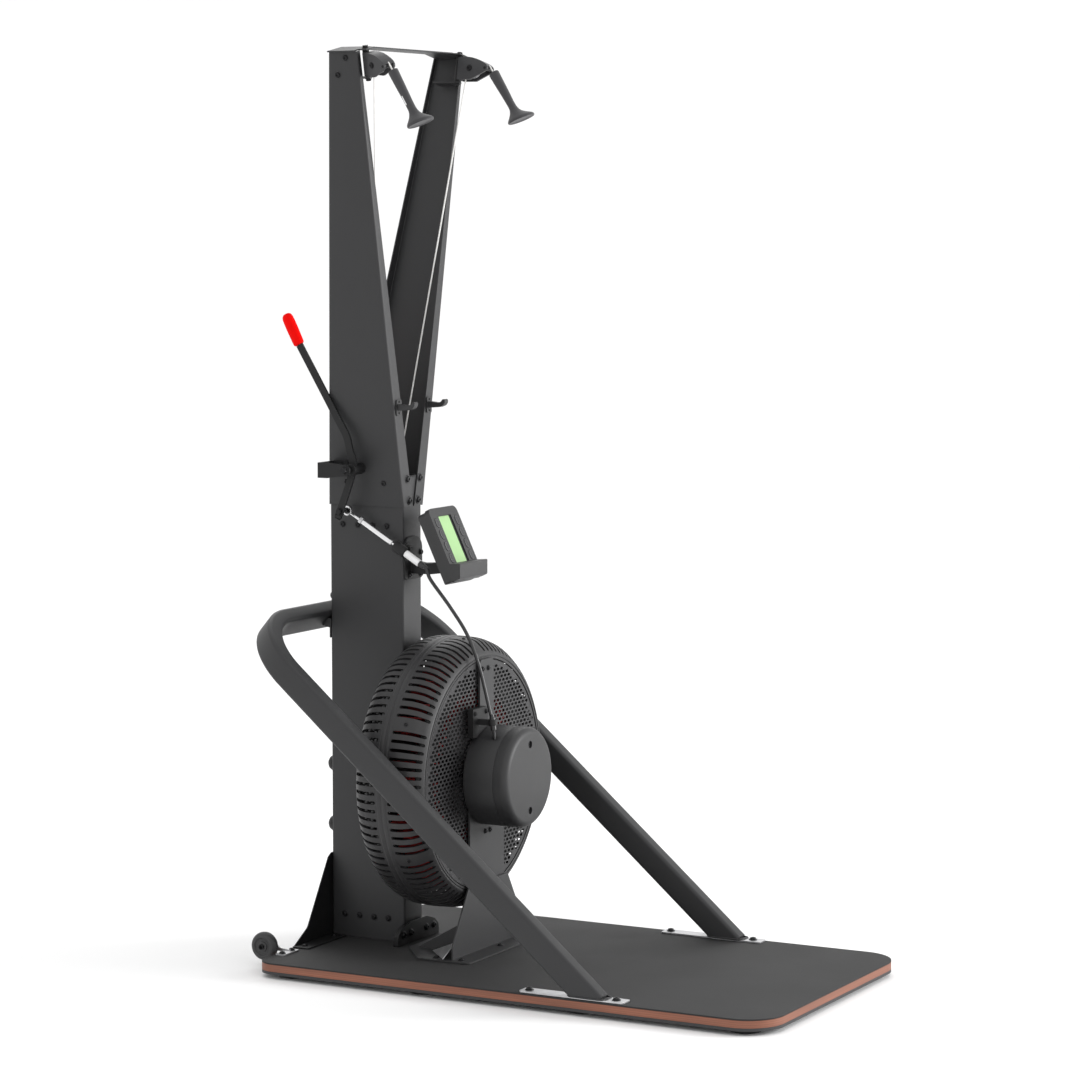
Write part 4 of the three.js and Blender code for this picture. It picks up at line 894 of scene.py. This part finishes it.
def perforate(b, low, high, x0, x1):
    """Add to b one cutter for each long hole of a staggered field between two radii."""
    rows = int(high / PITCH_Z)
    columns = int(high / PITCH_Y) + 1
    for row in range(-rows, rows + 1):
        shift = PITCH_Y / 2 if row % 2 else 0
        for k in range(-columns, columns + 1):
            y, z = k * PITCH_Y + shift, row * PITCH_Z
            if not low < math.hypot(y, z) < high:
                continue
            outline = [(y + math.copysign(HOLE_REACH, c) + HOLE_R * c, FAN_Z + z + HOLE_R * s)
                       for c, s in turns(12, 0.5)]
            b.prism(outline, x0, x1, YZ)


slots = Build()
for i, (c, s) in enumerate(turns(GUARD_SLOTS, 0.5)):
    for x0, x1, low in ((FAN_BACK + 13, -1006, 282), (BOSS_ROW, FAN_FRONT - 3.6, 274)):
        if x0 == BOSS_ROW and i % (GUARD_SLOTS // 6) == GUARD_BOSS:
            continue
        outline = rounded(rect(x0, x1, -3.9, 3.9), 3.2, 3)
        slots.prism(outline, low, 330,
                    lambda x, t, r, c=c, s=s: P(x, r * c - t * s, FAN_Z + r * s + t * c))
perforate(slots, 160, 250, FAN_BACK - 4, FAN_BACK + 8)
b = Build().lathe(guard_line, fan_axis, 192, closed=True)
b.make("fan_shell", GUARD, limit=38, replaces=("fan_guard",), cut=slots)

b = Build()
for i in range(6):
    q = TAU * (i * GUARD_SLOTS // 6 + GUARD_BOSS + 0.5) / GUARD_SLOTS
    c, s = math.cos(q), math.sin(q)
    cap_screw(b, P(-945, 315.4 * c, FAN_Z + 315.4 * s), (0, c, s), 4.6, 1.8, washer=False)
b.make("guard_screws", BOLT)

# Raised seam band round the middle of the guard.
b = Build()
b.lathe([(315.2, -1003), (316.2, -1002.2), (316.9, -1000), (316.9, -991.2), (316.3, -990.6), (316.3, -989.4),
         (316.9, -988.8), (316.9, -980), (316.2, -977.8), (315.2, -977)], fan_axis, 192, closed=True)
b.make("fan_seam_band", GUARD, limit=50)

# ------------------------------------------------------------ perforated grille
holes = Build()
perforate(holes, 78, 256, FAN_FRONT - 6, FAN_FRONT + 2)
b = Build().lathe(rect(60, 266, FAN_FRONT - 3.4, FAN_FRONT - 1.4), fan_axis, 128, closed=True)
b.make("fan_perforated_sheet", GRILLE, replaces=("fan_grille",), cut=holes)

# ------------------------------------------------------------ air flywheel
plates = Build()
plates.lathe([(12.7, -1030), (38, -1030), (40, -1028), (40, -1002), (44, -1000), (273, -1000), (274, -999),
              (274, -996), (273, -995), (44, -995), (40, -992), (40, -962), (38, -960), (12.7, -960)],
             fan_axis, 96, closed=True)
plates.make("fan_wheel_disc", COAT_DARK, "flywheel", "rotor_red", replaces=("fan_rotor",))
plates = Build()
plates.lathe([(196, -924.6), (197, -925), (273, -925), (274, -924), (274, -922), (273, -921), (197, -921),
              (196, -921.4)], fan_axis, 96, closed=True)
plates.make("fan_wheel_ring", COAT_DARK, "flywheel", "rotor_red", replaces=("fan_rotor",))
line = spline([(160, 0), (200, 2.5), (240, 7), (273.5, 13)], 3)
blade = [(p[0], p[1] - 1.1) for p in line] + [(p[0], p[1] + 1.1) for p in reversed(line)]
b = Build()
for c, s in turns(BLADES):
    b.prism(blade, -994.9, -925.1, lambda r, t, x, c=c, s=s: P(x, r * c - t * s, FAN_Z + r * s + t * c))
b.make("fan_wheel_blades", ROTOR, "flywheel", replaces=("fan_rotor",))

b = Build()
b.lathe([(0, -1178), (26, -1178), (26, -1172), (20, -1171), (20, -1127), (26, -1126), (26, -1120),
         (12, -1120), (12, -901), (11, -900), (0, -900)], fan_axis, 48)
b.make("fan_shaft", STEEL, "flywheel", bevel=0.4, replaces=("drive_shaft",))

# ------------------------------------------------------------ hub and its stand
x0, x1 = FAN_FRONT + 2, HUB_BACK - 0.3
Build().prism(symmetric([(82, 120), (82, 500), (60, 530)], [6, 14, 10], 4), x0, x1, YZ).make(
    "fan_upright_plate", COAT, bevel=0.7, replaces=("fan_upright",))
Build().prism(symmetric([(33, 531), (33, 700), (26, 708)], [1, 6, 6], 4), x0, x1, YZ).make(
    "fan_strap_plate", COAT, bevel=0.7, replaces=("fan_strap",))

base = [(-1049, -89), (-970, -187), (-834, -187), (-834, 187), (-970, 187), (-1049, 89)]
face = symmetric([(172, ON_DECK), (172, 60), (92, 190)], [1, 14, 10], 4)
parts = [Build().prism(face, HUB_BACK, HUB_BACK + 4, YZ)]
for sign in (-1, 1):
    rib = [(HUB_BACK + 2, 27.4), (HUB_BACK + 2, 112), (-1030, 30), (-1030, 27.4)]
    parts.append(Build().prism(rib, sign * 84 - 2, sign * 84 + 2, XZ))
Build().prism(rounded(base, [8, 10, 10, 10, 10, 8], 5), ON_DECK, 31.3, XY).make(
    "fan_pedestal_sheet", COAT, bevel=0.6, replaces=("fan_pedestal",), join=parts)
for side, sign in SIDES:
    low = [P(-974, sign * 108, 31.6), P(-906, sign * 180, 31.6)]
    high = [P(HUB_BACK - 0.6, sign * 150, 66), P(HUB_BACK - 0.6, sign * 138, 66)]
    skin = [low[0], low[1], high[0], high[1]]
    lift = (skin[1] - skin[0]).cross(skin[3] - skin[0]).normalized() * 0.002
    lift = lift if lift.z > 0 else -lift
    Build().loft([skin, [v + lift for v in skin]]).make(
        f"fan_pedestal_gusset_{side}", ZINC, slot=None, bevel=0.4)

b = Build()
for x, y in ((-932, -165), (-866, -165), (-932, 165), (-866, 165), (-866, 20), (-1022, -56), (-1022, 56)):
    cap_screw(b, P(x, y, 31.3), (0, 0, 1), 6, 3)
for y, z in ((-9, 305), (13, 305), (-21, 686), (6, 686)):
    cap_screw(b, P(x1, y, z), (1, 0, 0), 5, 3.2)
b.make("fan_stand_screws", BOLT)

bore_dir = Vector((6.5, 0, -45)).normalized()
CABLE_LOW = Vector((-830.5, -66, 522))


def cable_at(s):
    """World point on the line that the cable's end follows, s mm above its lowest point."""
    return P(*(CABLE_LOW - bore_dir * s))


drum = [(0, HUB_BACK), (115, HUB_BACK), (117, HUB_BACK + 2), (117, HUB_SEAM - 2.2), (116.2, HUB_SEAM - 0.3),
        (113, HUB_SEAM - 0.3), (113, HUB_BACK + 4), (0, HUB_BACK + 4)]
bore = Build()
bore.lathe([(5, 0), (5, 40)], on_axis(cable_at(0), -bore_dir), 28)
b = Build().lathe(drum, fan_axis, 128)
b.make("hub_drum", HUB, limit=36, replaces=("hub_housing",), cut=bore)
cap = rounded([(0, HUB_SEAM), (117, HUB_SEAM), (116.4, HUB_FRONT), (0, HUB_FRONT)], [0, 1.0, 22, 0], 10)
dimples = Build()
for z in (-77, 77):
    dimples.lathe(pin(8.6, HUB_FRONT - 7, HUB_FRONT + 3), along_x(0, FAN_Z + z), 28)
Build().lathe(cap, fan_axis, 128).make("hub_cover", HUB, limit=36,
                                       replaces=("hub_cap",), cut=dimples)
screws("hub_screws", [P(HUB_FRONT - 7, 0, FAN_Z + z) for z in (-77, 77)], (1, 0, 0), 6.4, 3.4, washer=False)

# ------------------------------------------------------------ brake lever
PIVOT_X, PIVOT_Z, LEVER_Y, ROD_Y = -1188.5, 1143.5, -100, -66
wall_x = -1262


def web_gap(z):
    return -(arm_outer(z) + 0.5)


foot = Build()
foot.loft([[P(wall_x, web_gap(z), z), P(-1222, web_gap(z), z), P(-1222, web_gap(z) - 3, z),
            P(wall_x, web_gap(z) - 3, z)] for z in (1124, 1160)])
wall = Build().prism(rect(-138, web_gap(1160) - 1, 1124, 1160), wall_x, wall_x + 4, YZ)
cheek = [(wall_x, 1124), (wall_x + 26, 1124), (-1184, 1131), (-1175, 1137), (-1175, 1150), (-1184, 1156),
         (wall_x + 26, 1160), (wall_x, 1160)]
cheek = Build().prism(rounded(cheek, [1, 10, 6, 8, 8, 6, 10, 1], 4), -138, -134, XZ)
foot.make("lever_strap", COAT_DARK, bevel=0.7, replaces=("lever_bracket",), join=(wall, cheek))
b = Build()
b.lathe(pin(5, -135, -112), along_y(PIVOT_X, PIVOT_Z), 24)
hex_nut(b, P(PIVOT_X, -138, PIVOT_Z), (0, -1, 0), 7, 6)
for z in (1133, 1151):
    cap_screw(b, P(-1240, web_gap(z) - 3, z), (0, -1, 0.19), 4.5, 3)
b.make("lever_pivot", BOLT)

ROD_START = Vector((-1224.2, ROD_Y, 1043.8))
ROD_DIR = Vector((193.4, 0, -115.1)).normalized()


def on_rod(s):
    return P(*(ROD_START + ROD_DIR * s))


lever_line = [(-1332, 1430), (-1225, 1254), (-1206, 1222), (-1197, 1190), (PIVOT_X, PIVOT_Z),
              (ROD_START.x, ROD_START.z), (ROD_START.x - 5, ROD_START.z - 12)]
curve = [Vector(p) for p in spline(lever_line, 8)]
left, right = [], []
for i, p in enumerate(curve):
    d = (curve[min(i + 1, len(curve) - 1)] - curve[max(i - 1, 0)]).normalized()
    left.append((p.x - d.y * 8.5, p.y + d.x * 8.5))
    right.append((p.x + d.y * 8.5, p.y - d.x * 8.5))
tip = curve[-1]
d = (curve[-1] - curve[-2]).normalized()
nose = []
for i in range(1, 8):
    q = math.pi * i / 8
    side_way = Vector((-d.y, d.x)) * (8.5 * math.cos(q))
    nose.append(tuple(tip - d * 4 + side_way + d * (8.5 * math.sin(q) * 0.6 + 4)))
bar = Build().prism(left + nose + right[::-1], LEVER_Y - 3, LEVER_Y + 2.4, XZ)
boss = Build().lathe(pin(13, LEVER_Y - 11, LEVER_Y + 34, 1), along_y(PIVOT_X, PIVOT_Z), 40)
bar.make("lever_bar", COAT_DARK, "lever", bevel=0.7, replaces=("brake_lever",), join=(boss,))
b = Build()
b.lathe(pin(4.5, LEVER_Y - 8, ROD_Y + 6), along_y(ROD_START.x, ROD_START.z), 24)
hex_nut(b, P(ROD_START.x, LEVER_Y - 3.1, ROD_START.z), (0, -1, 0), 6.4, 5)
hex_nut(b, P(ROD_START.x, LEVER_Y + 2.5, ROD_START.z), (0, 1, 0), 6.4, 5)
hex_nut(b, P(ROD_START.x, ROD_Y + 5.2, ROD_START.z), (0, 1, 0), 6.0, 3.5, washer=False)
b.make("lever_eye_bolt", BOLT, "lever")

grip_dir = Vector((-39, 0, 76)).normalized()
grip_start = Vector((-1332.5, LEVER_Y, 1430)) + grip_dir
sizes = [(-0.6, 8, 5.5), (0, 11, 8), (1.6, 12.6, 9.6), (6, 13.6, 10.6), (24, 14.2, 11.5), (42, 14.5, 12),
         (60, 14.3, 11.8), (68, 13.6, 11.2), (74, 11.8, 9.4), (77.6, 8.6, 7), (79, 4.8, 4), (79.3, 1.5, 1.2)]
rings = []
for s, a, w in spline(sizes, 4):
    c = grip_start + grip_dir * s
    ring = []
    for i in range(36):
        q = TAU * i / 36
        groove = 1 - 0.03 * (0.5 + 0.5 * math.cos(TAU * s / 9)) * (1 if 10 < s < 66 else 0)
        ring.append(P(c.x + grip_dir.z * a * groove * math.cos(q), c.y + w * groove * math.sin(q),
                      c.z - grip_dir.x * a * groove * math.cos(q)))
    rings.append(ring)
Build().loft(rings).make("lever_handgrip", RED, "lever", limit=60, replaces=("lever_grip",))

# ------------------------------------------------------------ push rod, sleeve and cable
b = Build()
eye = [(r, ROD_Y + h) for r, h in mirrored([(7.6, -4.5), (10.9, -4.5), (11.5, -3.9)])]
b.lathe(eye, along_y(ROD_START.x, ROD_START.z), 40, closed=True)
rod_axis = on_axis(on_rod(0), ROD_DIR)
b.lathe([(0, 10.4), (4, 10.4), (4, 46), (5.5, 47), (6.5, 48.5), (6.5, 138.6), (5.6, 140), (3, 140.4),
         (3, 189.4), (2.4, 190), (0, 190)], rod_axis, 32)
b.make("push_rod", CHROME, "rod", bevel=0.3, replaces=("brake_rod",))
b = Build()
hex_nut(b, on_rod(39), ROD_DIR, 7, 8, washer=False)
b.make("push_rod_nut", ZINC, "rod", None)

b = Build().lathe([(7.2, 147.5), (8.5, 147.5), (12.6, 149), (13.4, 150.5), (13.4, 178.5), (12.6, 180.5),
                   (9, 181.8), (5.4, 181.8), (5.4, 154), (7.2, 154)], rod_axis, 48, closed=True)
b.make("sleeve_clamp_ring", COAT_DARK, bevel=0.4, replaces=("rod_sleeve",))
b = Build()
b.lathe([(5.4, 182.1), (8.1, 182.1), (8.5, 182.6), (8.5, 224), (8, 224.8), (5.4, 224.8)], rod_axis, 40,
        closed=True)
b.make("sleeve_tube", WHITE, bevel=0.3)
mid = ROD_START + ROD_DIR * 170
b = Build()
b.prism(rounded([(-1084, mid.z - 12), (-1062, mid.z - 11), (-1060, mid.z + 8), (-1084, mid.z + 12)], 3, 4),
        ROD_Y + 9, -40.5, XZ)
b.make("sleeve_clamp_arm", COAT_DARK, bevel=0.8)
b = Build()
b.prism(rounded(rect(ROD_Y + 8, -20, mid.z - 14, mid.z + 14), 5, 4), -1083.8, -1080, YZ)
b.make("sleeve_clamp_foot", COAT_DARK, bevel=0.6)
screws("sleeve_clamp_screw", [P(-1080, -30, mid.z)], (1, 0, 0), 5, 3.2)

bends = [(-1001, 892), (-950, 832), (-904, 769), (-872, 695), (-846, 600)]
line = spline([on_rod(224.8), on_rod(246)] + [P(x, ROD_Y, z) for x, z in bends] + [cable_at(58)], 10)
b = Build().tube(line, 4.2, 18)
b.make("brake_cable_jacket", CABLE, limit=50, replaces=("brake_cable",))
b = Build()
b.lathe([(0, 31), (6.2, 31), (7, 32), (7, 58), (6.2, 60.5), (5, 64), (4.5, 68), (0, 68)],
        on_axis(cable_at(0), -bore_dir), 32)
b.lathe(pin(3.6, 1, 32), on_axis(cable_at(0), -bore_dir), 24)
b.make("brake_cable_ferrule", CABLE, bevel=0.3)
b = Build()
b.lathe([(0, 224.9), (7, 224.9), (7.2, 226), (6.4, 236), (5, 240), (0, 240)], rod_axis, 32)
b.make("brake_cable_boot", CABLE, bevel=0.3)

block = [(-92, 534), (-73, 534), (-60, 541.5), (-40, 549.5), (-22, 555), (-22, 601), (-92, 601)]
block = Build().prism(rounded(block, [2, 3, 12, 12, 2, 3, 3], 3), HUB_BACK + 0.3, HUB_BACK + 14, YZ)
ring_mid = CABLE_LOW - bore_dir * 49
hold = Build().prism(rounded(rect(HUB_BACK + 6, ring_mid.x - 7, ring_mid.z - 7, ring_mid.z + 6), 1, 3),
                     ROD_Y - 5, ROD_Y + 6, XZ)
ring = Build().lathe(pin(11, 42, 56, 0.6), on_axis(cable_at(0), -bore_dir), 40)
hole = Build().lathe([(7.4, 36), (7.4, 62)], on_axis(cable_at(0), -bore_dir), 32)
block.make("cable_stop_block", COAT_DARK, bevel=0.7, replaces=("cable_stop",),
           join=(hold, ring), cut=hole)
screws("cable_stop_screws", [P(HUB_BACK + 14, y, 590) for y in (-82, -30)], (1, 0, 0), 4.6, 3)

# ------------------------------------------------------------ console
plate = Build().prism(rounded(rect(-40, 40, 884, 984), [8, 8, 30, 20], 8), front, front + 3.5, YZ)
arm = [(front + 1, 898), (front + 1, 928), (-1056, 923), (-1026, 925), (-990.5, 932), (-978.5, 906.5),
       (-1004, 902), (-1034, 898)]
arm = Build().prism(rounded(arm, [0.5, 0.5, 20, 20, 1, 1, 20, 20], 5), -13, 13, XZ)
plate.make("console_mount", COAT_DARK, bevel=0.9, replaces=("console_bracket",), join=(arm,))
screws("console_mount_screws", [P(front + 3.5, y, z) for y, z in ((31, 945), (31, 894), (-20, 895))],
       (1, 0, 0), 6, 4)

FACE_TOP = Vector((-1010, 0, 1056))
FACE_DOWN = Vector((59, 0, -125)).normalized()
FACE_OUT = Vector((125, 0, 59)).normalized()
WIDTH = 65  # half the console's width


def on_face(y, down, out):
    return P(*(FACE_TOP + FACE_DOWN * down + FACE_OUT * out + Vector((0, y, 0))))


def side_on_face(down, out, y):
    return on_face(y, down, out)


front_frame = Build().prism(rounded(rect(-WIDTH, WIDTH, 0.4, 179.4), [15, 15, 5, 5], 8), -13, 0, on_face)
rear_shell = [(-WIDTH + 2.4, 3.4), (WIDTH - 2.4, 3.4), (WIDTH - 2.4, 177), (-WIDTH + 2.4, 177)]
rear_shell = Build().prism(rounded(rear_shell, [13, 13, 4, 4], 8), -34, -12, on_face)
ledge = [(136.5, -6), (138.2, 0), (147.5, 24.2), (149.5, 25), (178, 11.5), (179.4, 9), (179.4, -6)]
ledge = Build().prism(rounded(ledge, [0, 3, 2, 3, 3, 2, 0], 3), -WIDTH, WIDTH, side_on_face)
window = Build().prism(rounded(rect(-31, 28, 21, 137.6), 1.5, 3), -4.6, 6, on_face)
KEYS = [(1, -1, (36.8, 66.2)), (2, -1, (95.6, 125)), (3, 1, (36.8, 66.2)), (4, 1, (95.6, 125))]


def key_line(y, down, across, along, n=28):
    """Oval round one key: straight sides with round ends."""
    return [(y + across * c, down + along * math.copysign(abs(s) ** 0.8, s)) for c, s in turns(n)]


for _, way, downs in KEYS:
    for down in downs:
        window.prism(key_line(way * 46.5, down, 8.2, 12.2), -3.4, 5, on_face)
front_frame.make("console_housing", CASE, bevel=1.2, steps=3,
                 replaces=("console_case",), join=(rear_shell, ledge), cut=window)
b = Build().prism(rounded(rect(-30.8, 21.6, 21.2, 137.4), 1.3, 3), -4.5, -3.0, on_face)
b.make("console_display", SCREEN, bevel=0.3, replaces=("console_screen",))
b = Build().prism(rounded(rect(21.8, 27.8, 21.2, 137.4), 1, 3), -4.5, -2.6, on_face)
b.make("console_display_mask", BEZEL, bevel=0.3)
for number, way, downs in KEYS:
    b, rings = Build(), Build()
    for down in downs:
        b.prism(key_line(way * 46.5, down, 7.3, 11.3), -2.2, 0.8, on_face)
        rim, bore = [key_line(way * 46.5, down, across, across + 4) for across in (6.6, 5.2)]
        rings.ring_prism(rim, bore, 0.7, 1.2, on_face)
    b.make(f"console_keys_{number}", BUTTON, f"button_{number}", bevel=0.5,
           replaces=(f"console_button_{number}",))
    rings.make(f"console_key_rims_{number}", MARK, f"button_{number}")
screws("console_screws", [on_face(y, down, -34) for y in (-46, 46) for down in (18, 160)], -FACE_OUT,
       3.2, 1.6, washer=False, segments=18)

# ------------------------------------------------------------ transport wheels
WHEEL_X, WHEEL_Y, WHEEL_Z = -1326, 279, 40
for side, sign in SIDES:
    y0, y1 = sorted((sign * 238, sign * 304))
    tab = Build().prism(rounded(rect(-1282, -1258, y0, y1), 4, 4), ON_DECK, 30.6, XY)
    ear = [(-1268, 27.4), (-1268, 32.5), (-1297, 34.5), (-1318, 50), (-1332, 50), (-1338, 40), (-1332, 30),
           (-1300, 27.4)]
    ear = Build().prism(rounded(ear, [1, 2, 20, 9, 9, 9, 9, 12], 4), sign * 258 - 2, sign * 258 + 2, XZ)
    tab.make(f"wheel_ear_{side}", ZINC, bevel=0.6, replaces=(f"wheel_bracket_{side}",),
             join=(ear,))
    b = Build()
    a0, a1 = sorted((sign * 256, sign * 297))
    b.lathe([(0, a0), (4.6, a0), (5, a0 + 0.5), (5, a1 - 0.5), (4.6, a1), (0, a1)],
            along_y(WHEEL_X, WHEEL_Z), 24)
    hex_nut(b, P(WHEEL_X, sign * 256, WHEEL_Z), (0, -sign, 0), 6, 4.4)
    hex_nut(b, P(WHEEL_X, sign * 293, WHEEL_Z), (0, sign, 0), 6, 4, washer=False)
    for y in (sign * 292, sign * 251):
        cap_screw(b, P(-1270, y, 30.6), (0, 0, 1), 6.2, 3.8)
    b.make(f"wheel_axle_{side}", BOLT)
    b = Build()
    tyre = [(5.3, -13), (10, -13), (11.6, -12.4), (12.4, -10), (18, -9.4), (19.4, -10), (21, -12.4),
            (23.5, -13), (27, -12.2), (30, -9.8), (32.1, -6.6), (33, -2.6)]
    b.lathe(mirrored(tyre), lambda u, v, w, s=sign: P(WHEEL_X + u, s * WHEEL_Y + w, WHEEL_Z + v), 64,
            closed=True)
    b.make(f"wheel_tyre_{side}", WHEEL, f"wheel_{side}", limit=40,
           replaces=(f"transport_wheel_{side}",))

# ------------------------------------------------------------ studio and camera
mesh = bpy.data.meshes.new("studio_floor")
reach, wall_z, cove = 14.0, 9.0, 3.0
ring = []
rows = [(-reach, 0.0)]
for i in range(13):
    q = i / 12 * math.pi / 2
    rows.append((reach - cove + cove * math.sin(q), cove - cove * math.cos(q)))
rows.append((reach, wall_z))
verts = [(x, y, z - 0.0005) for y, z in rows for x in (-18, 18)]
mesh.from_pydata(verts, [], [(2 * i, 2 * i + 1, 2 * i + 3, 2 * i + 2) for i in range(len(rows) - 1)])
mesh.shade_smooth()
floor = bpy.data.objects.new("studio_floor", mesh)
bpy.context.scene.collection.objects.link(floor)
floor.data.materials.append(surface("studio_paper", (0.98, 0.98, 0.98), 0.85, vary=0.01, patch=1, grain=40,
                                    bump=0.02, specular=0.0))
floor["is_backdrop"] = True

world = bpy.data.worlds.new("studio")
bpy.context.scene.world = world
world.use_nodes = True
world.node_tree.nodes["Background"].inputs["Color"].default_value = (1, 1, 1, 1)
world.node_tree.nodes["Background"].inputs["Strength"].default_value = 1.02


def area(name, place, target, width, height, power):
    light = bpy.data.lights.new(name, "AREA")
    light.shape = "RECTANGLE"
    light.size, light.size_y, light.energy = width, height, power
    obj = bpy.data.objects.new(name, light)
    bpy.context.scene.collection.objects.link(obj)
    obj.location = place
    obj.rotation_euler = (Vector(target) - Vector(place)).to_track_quat("-Z", "Y").to_euler()


area("key", (6.4, 3.4, 2.3), (0, 0, 0.9), 3.2, 2.8, 430)
area("rim", (-3.0, 4.0, 4.5), (0, 0, 1.2), 4.0, 2.0, 50)

camera = bpy.data.objects.new("camera", bpy.data.cameras.new("camera"))
bpy.context.scene.collection.objects.link(camera)
camera.data.lens = 116.646
camera.data.sensor_width = 36
camera.location = P(3012.67, -7040.58, 1757.92)
camera.rotation_euler = (math.radians(84.5085), 0, math.radians(28.1203))
camera.data.clip_end = 100
bpy.context.scene.camera = camera
bpy.context.scene.view_settings.view_transform = "Standard"

low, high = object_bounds()
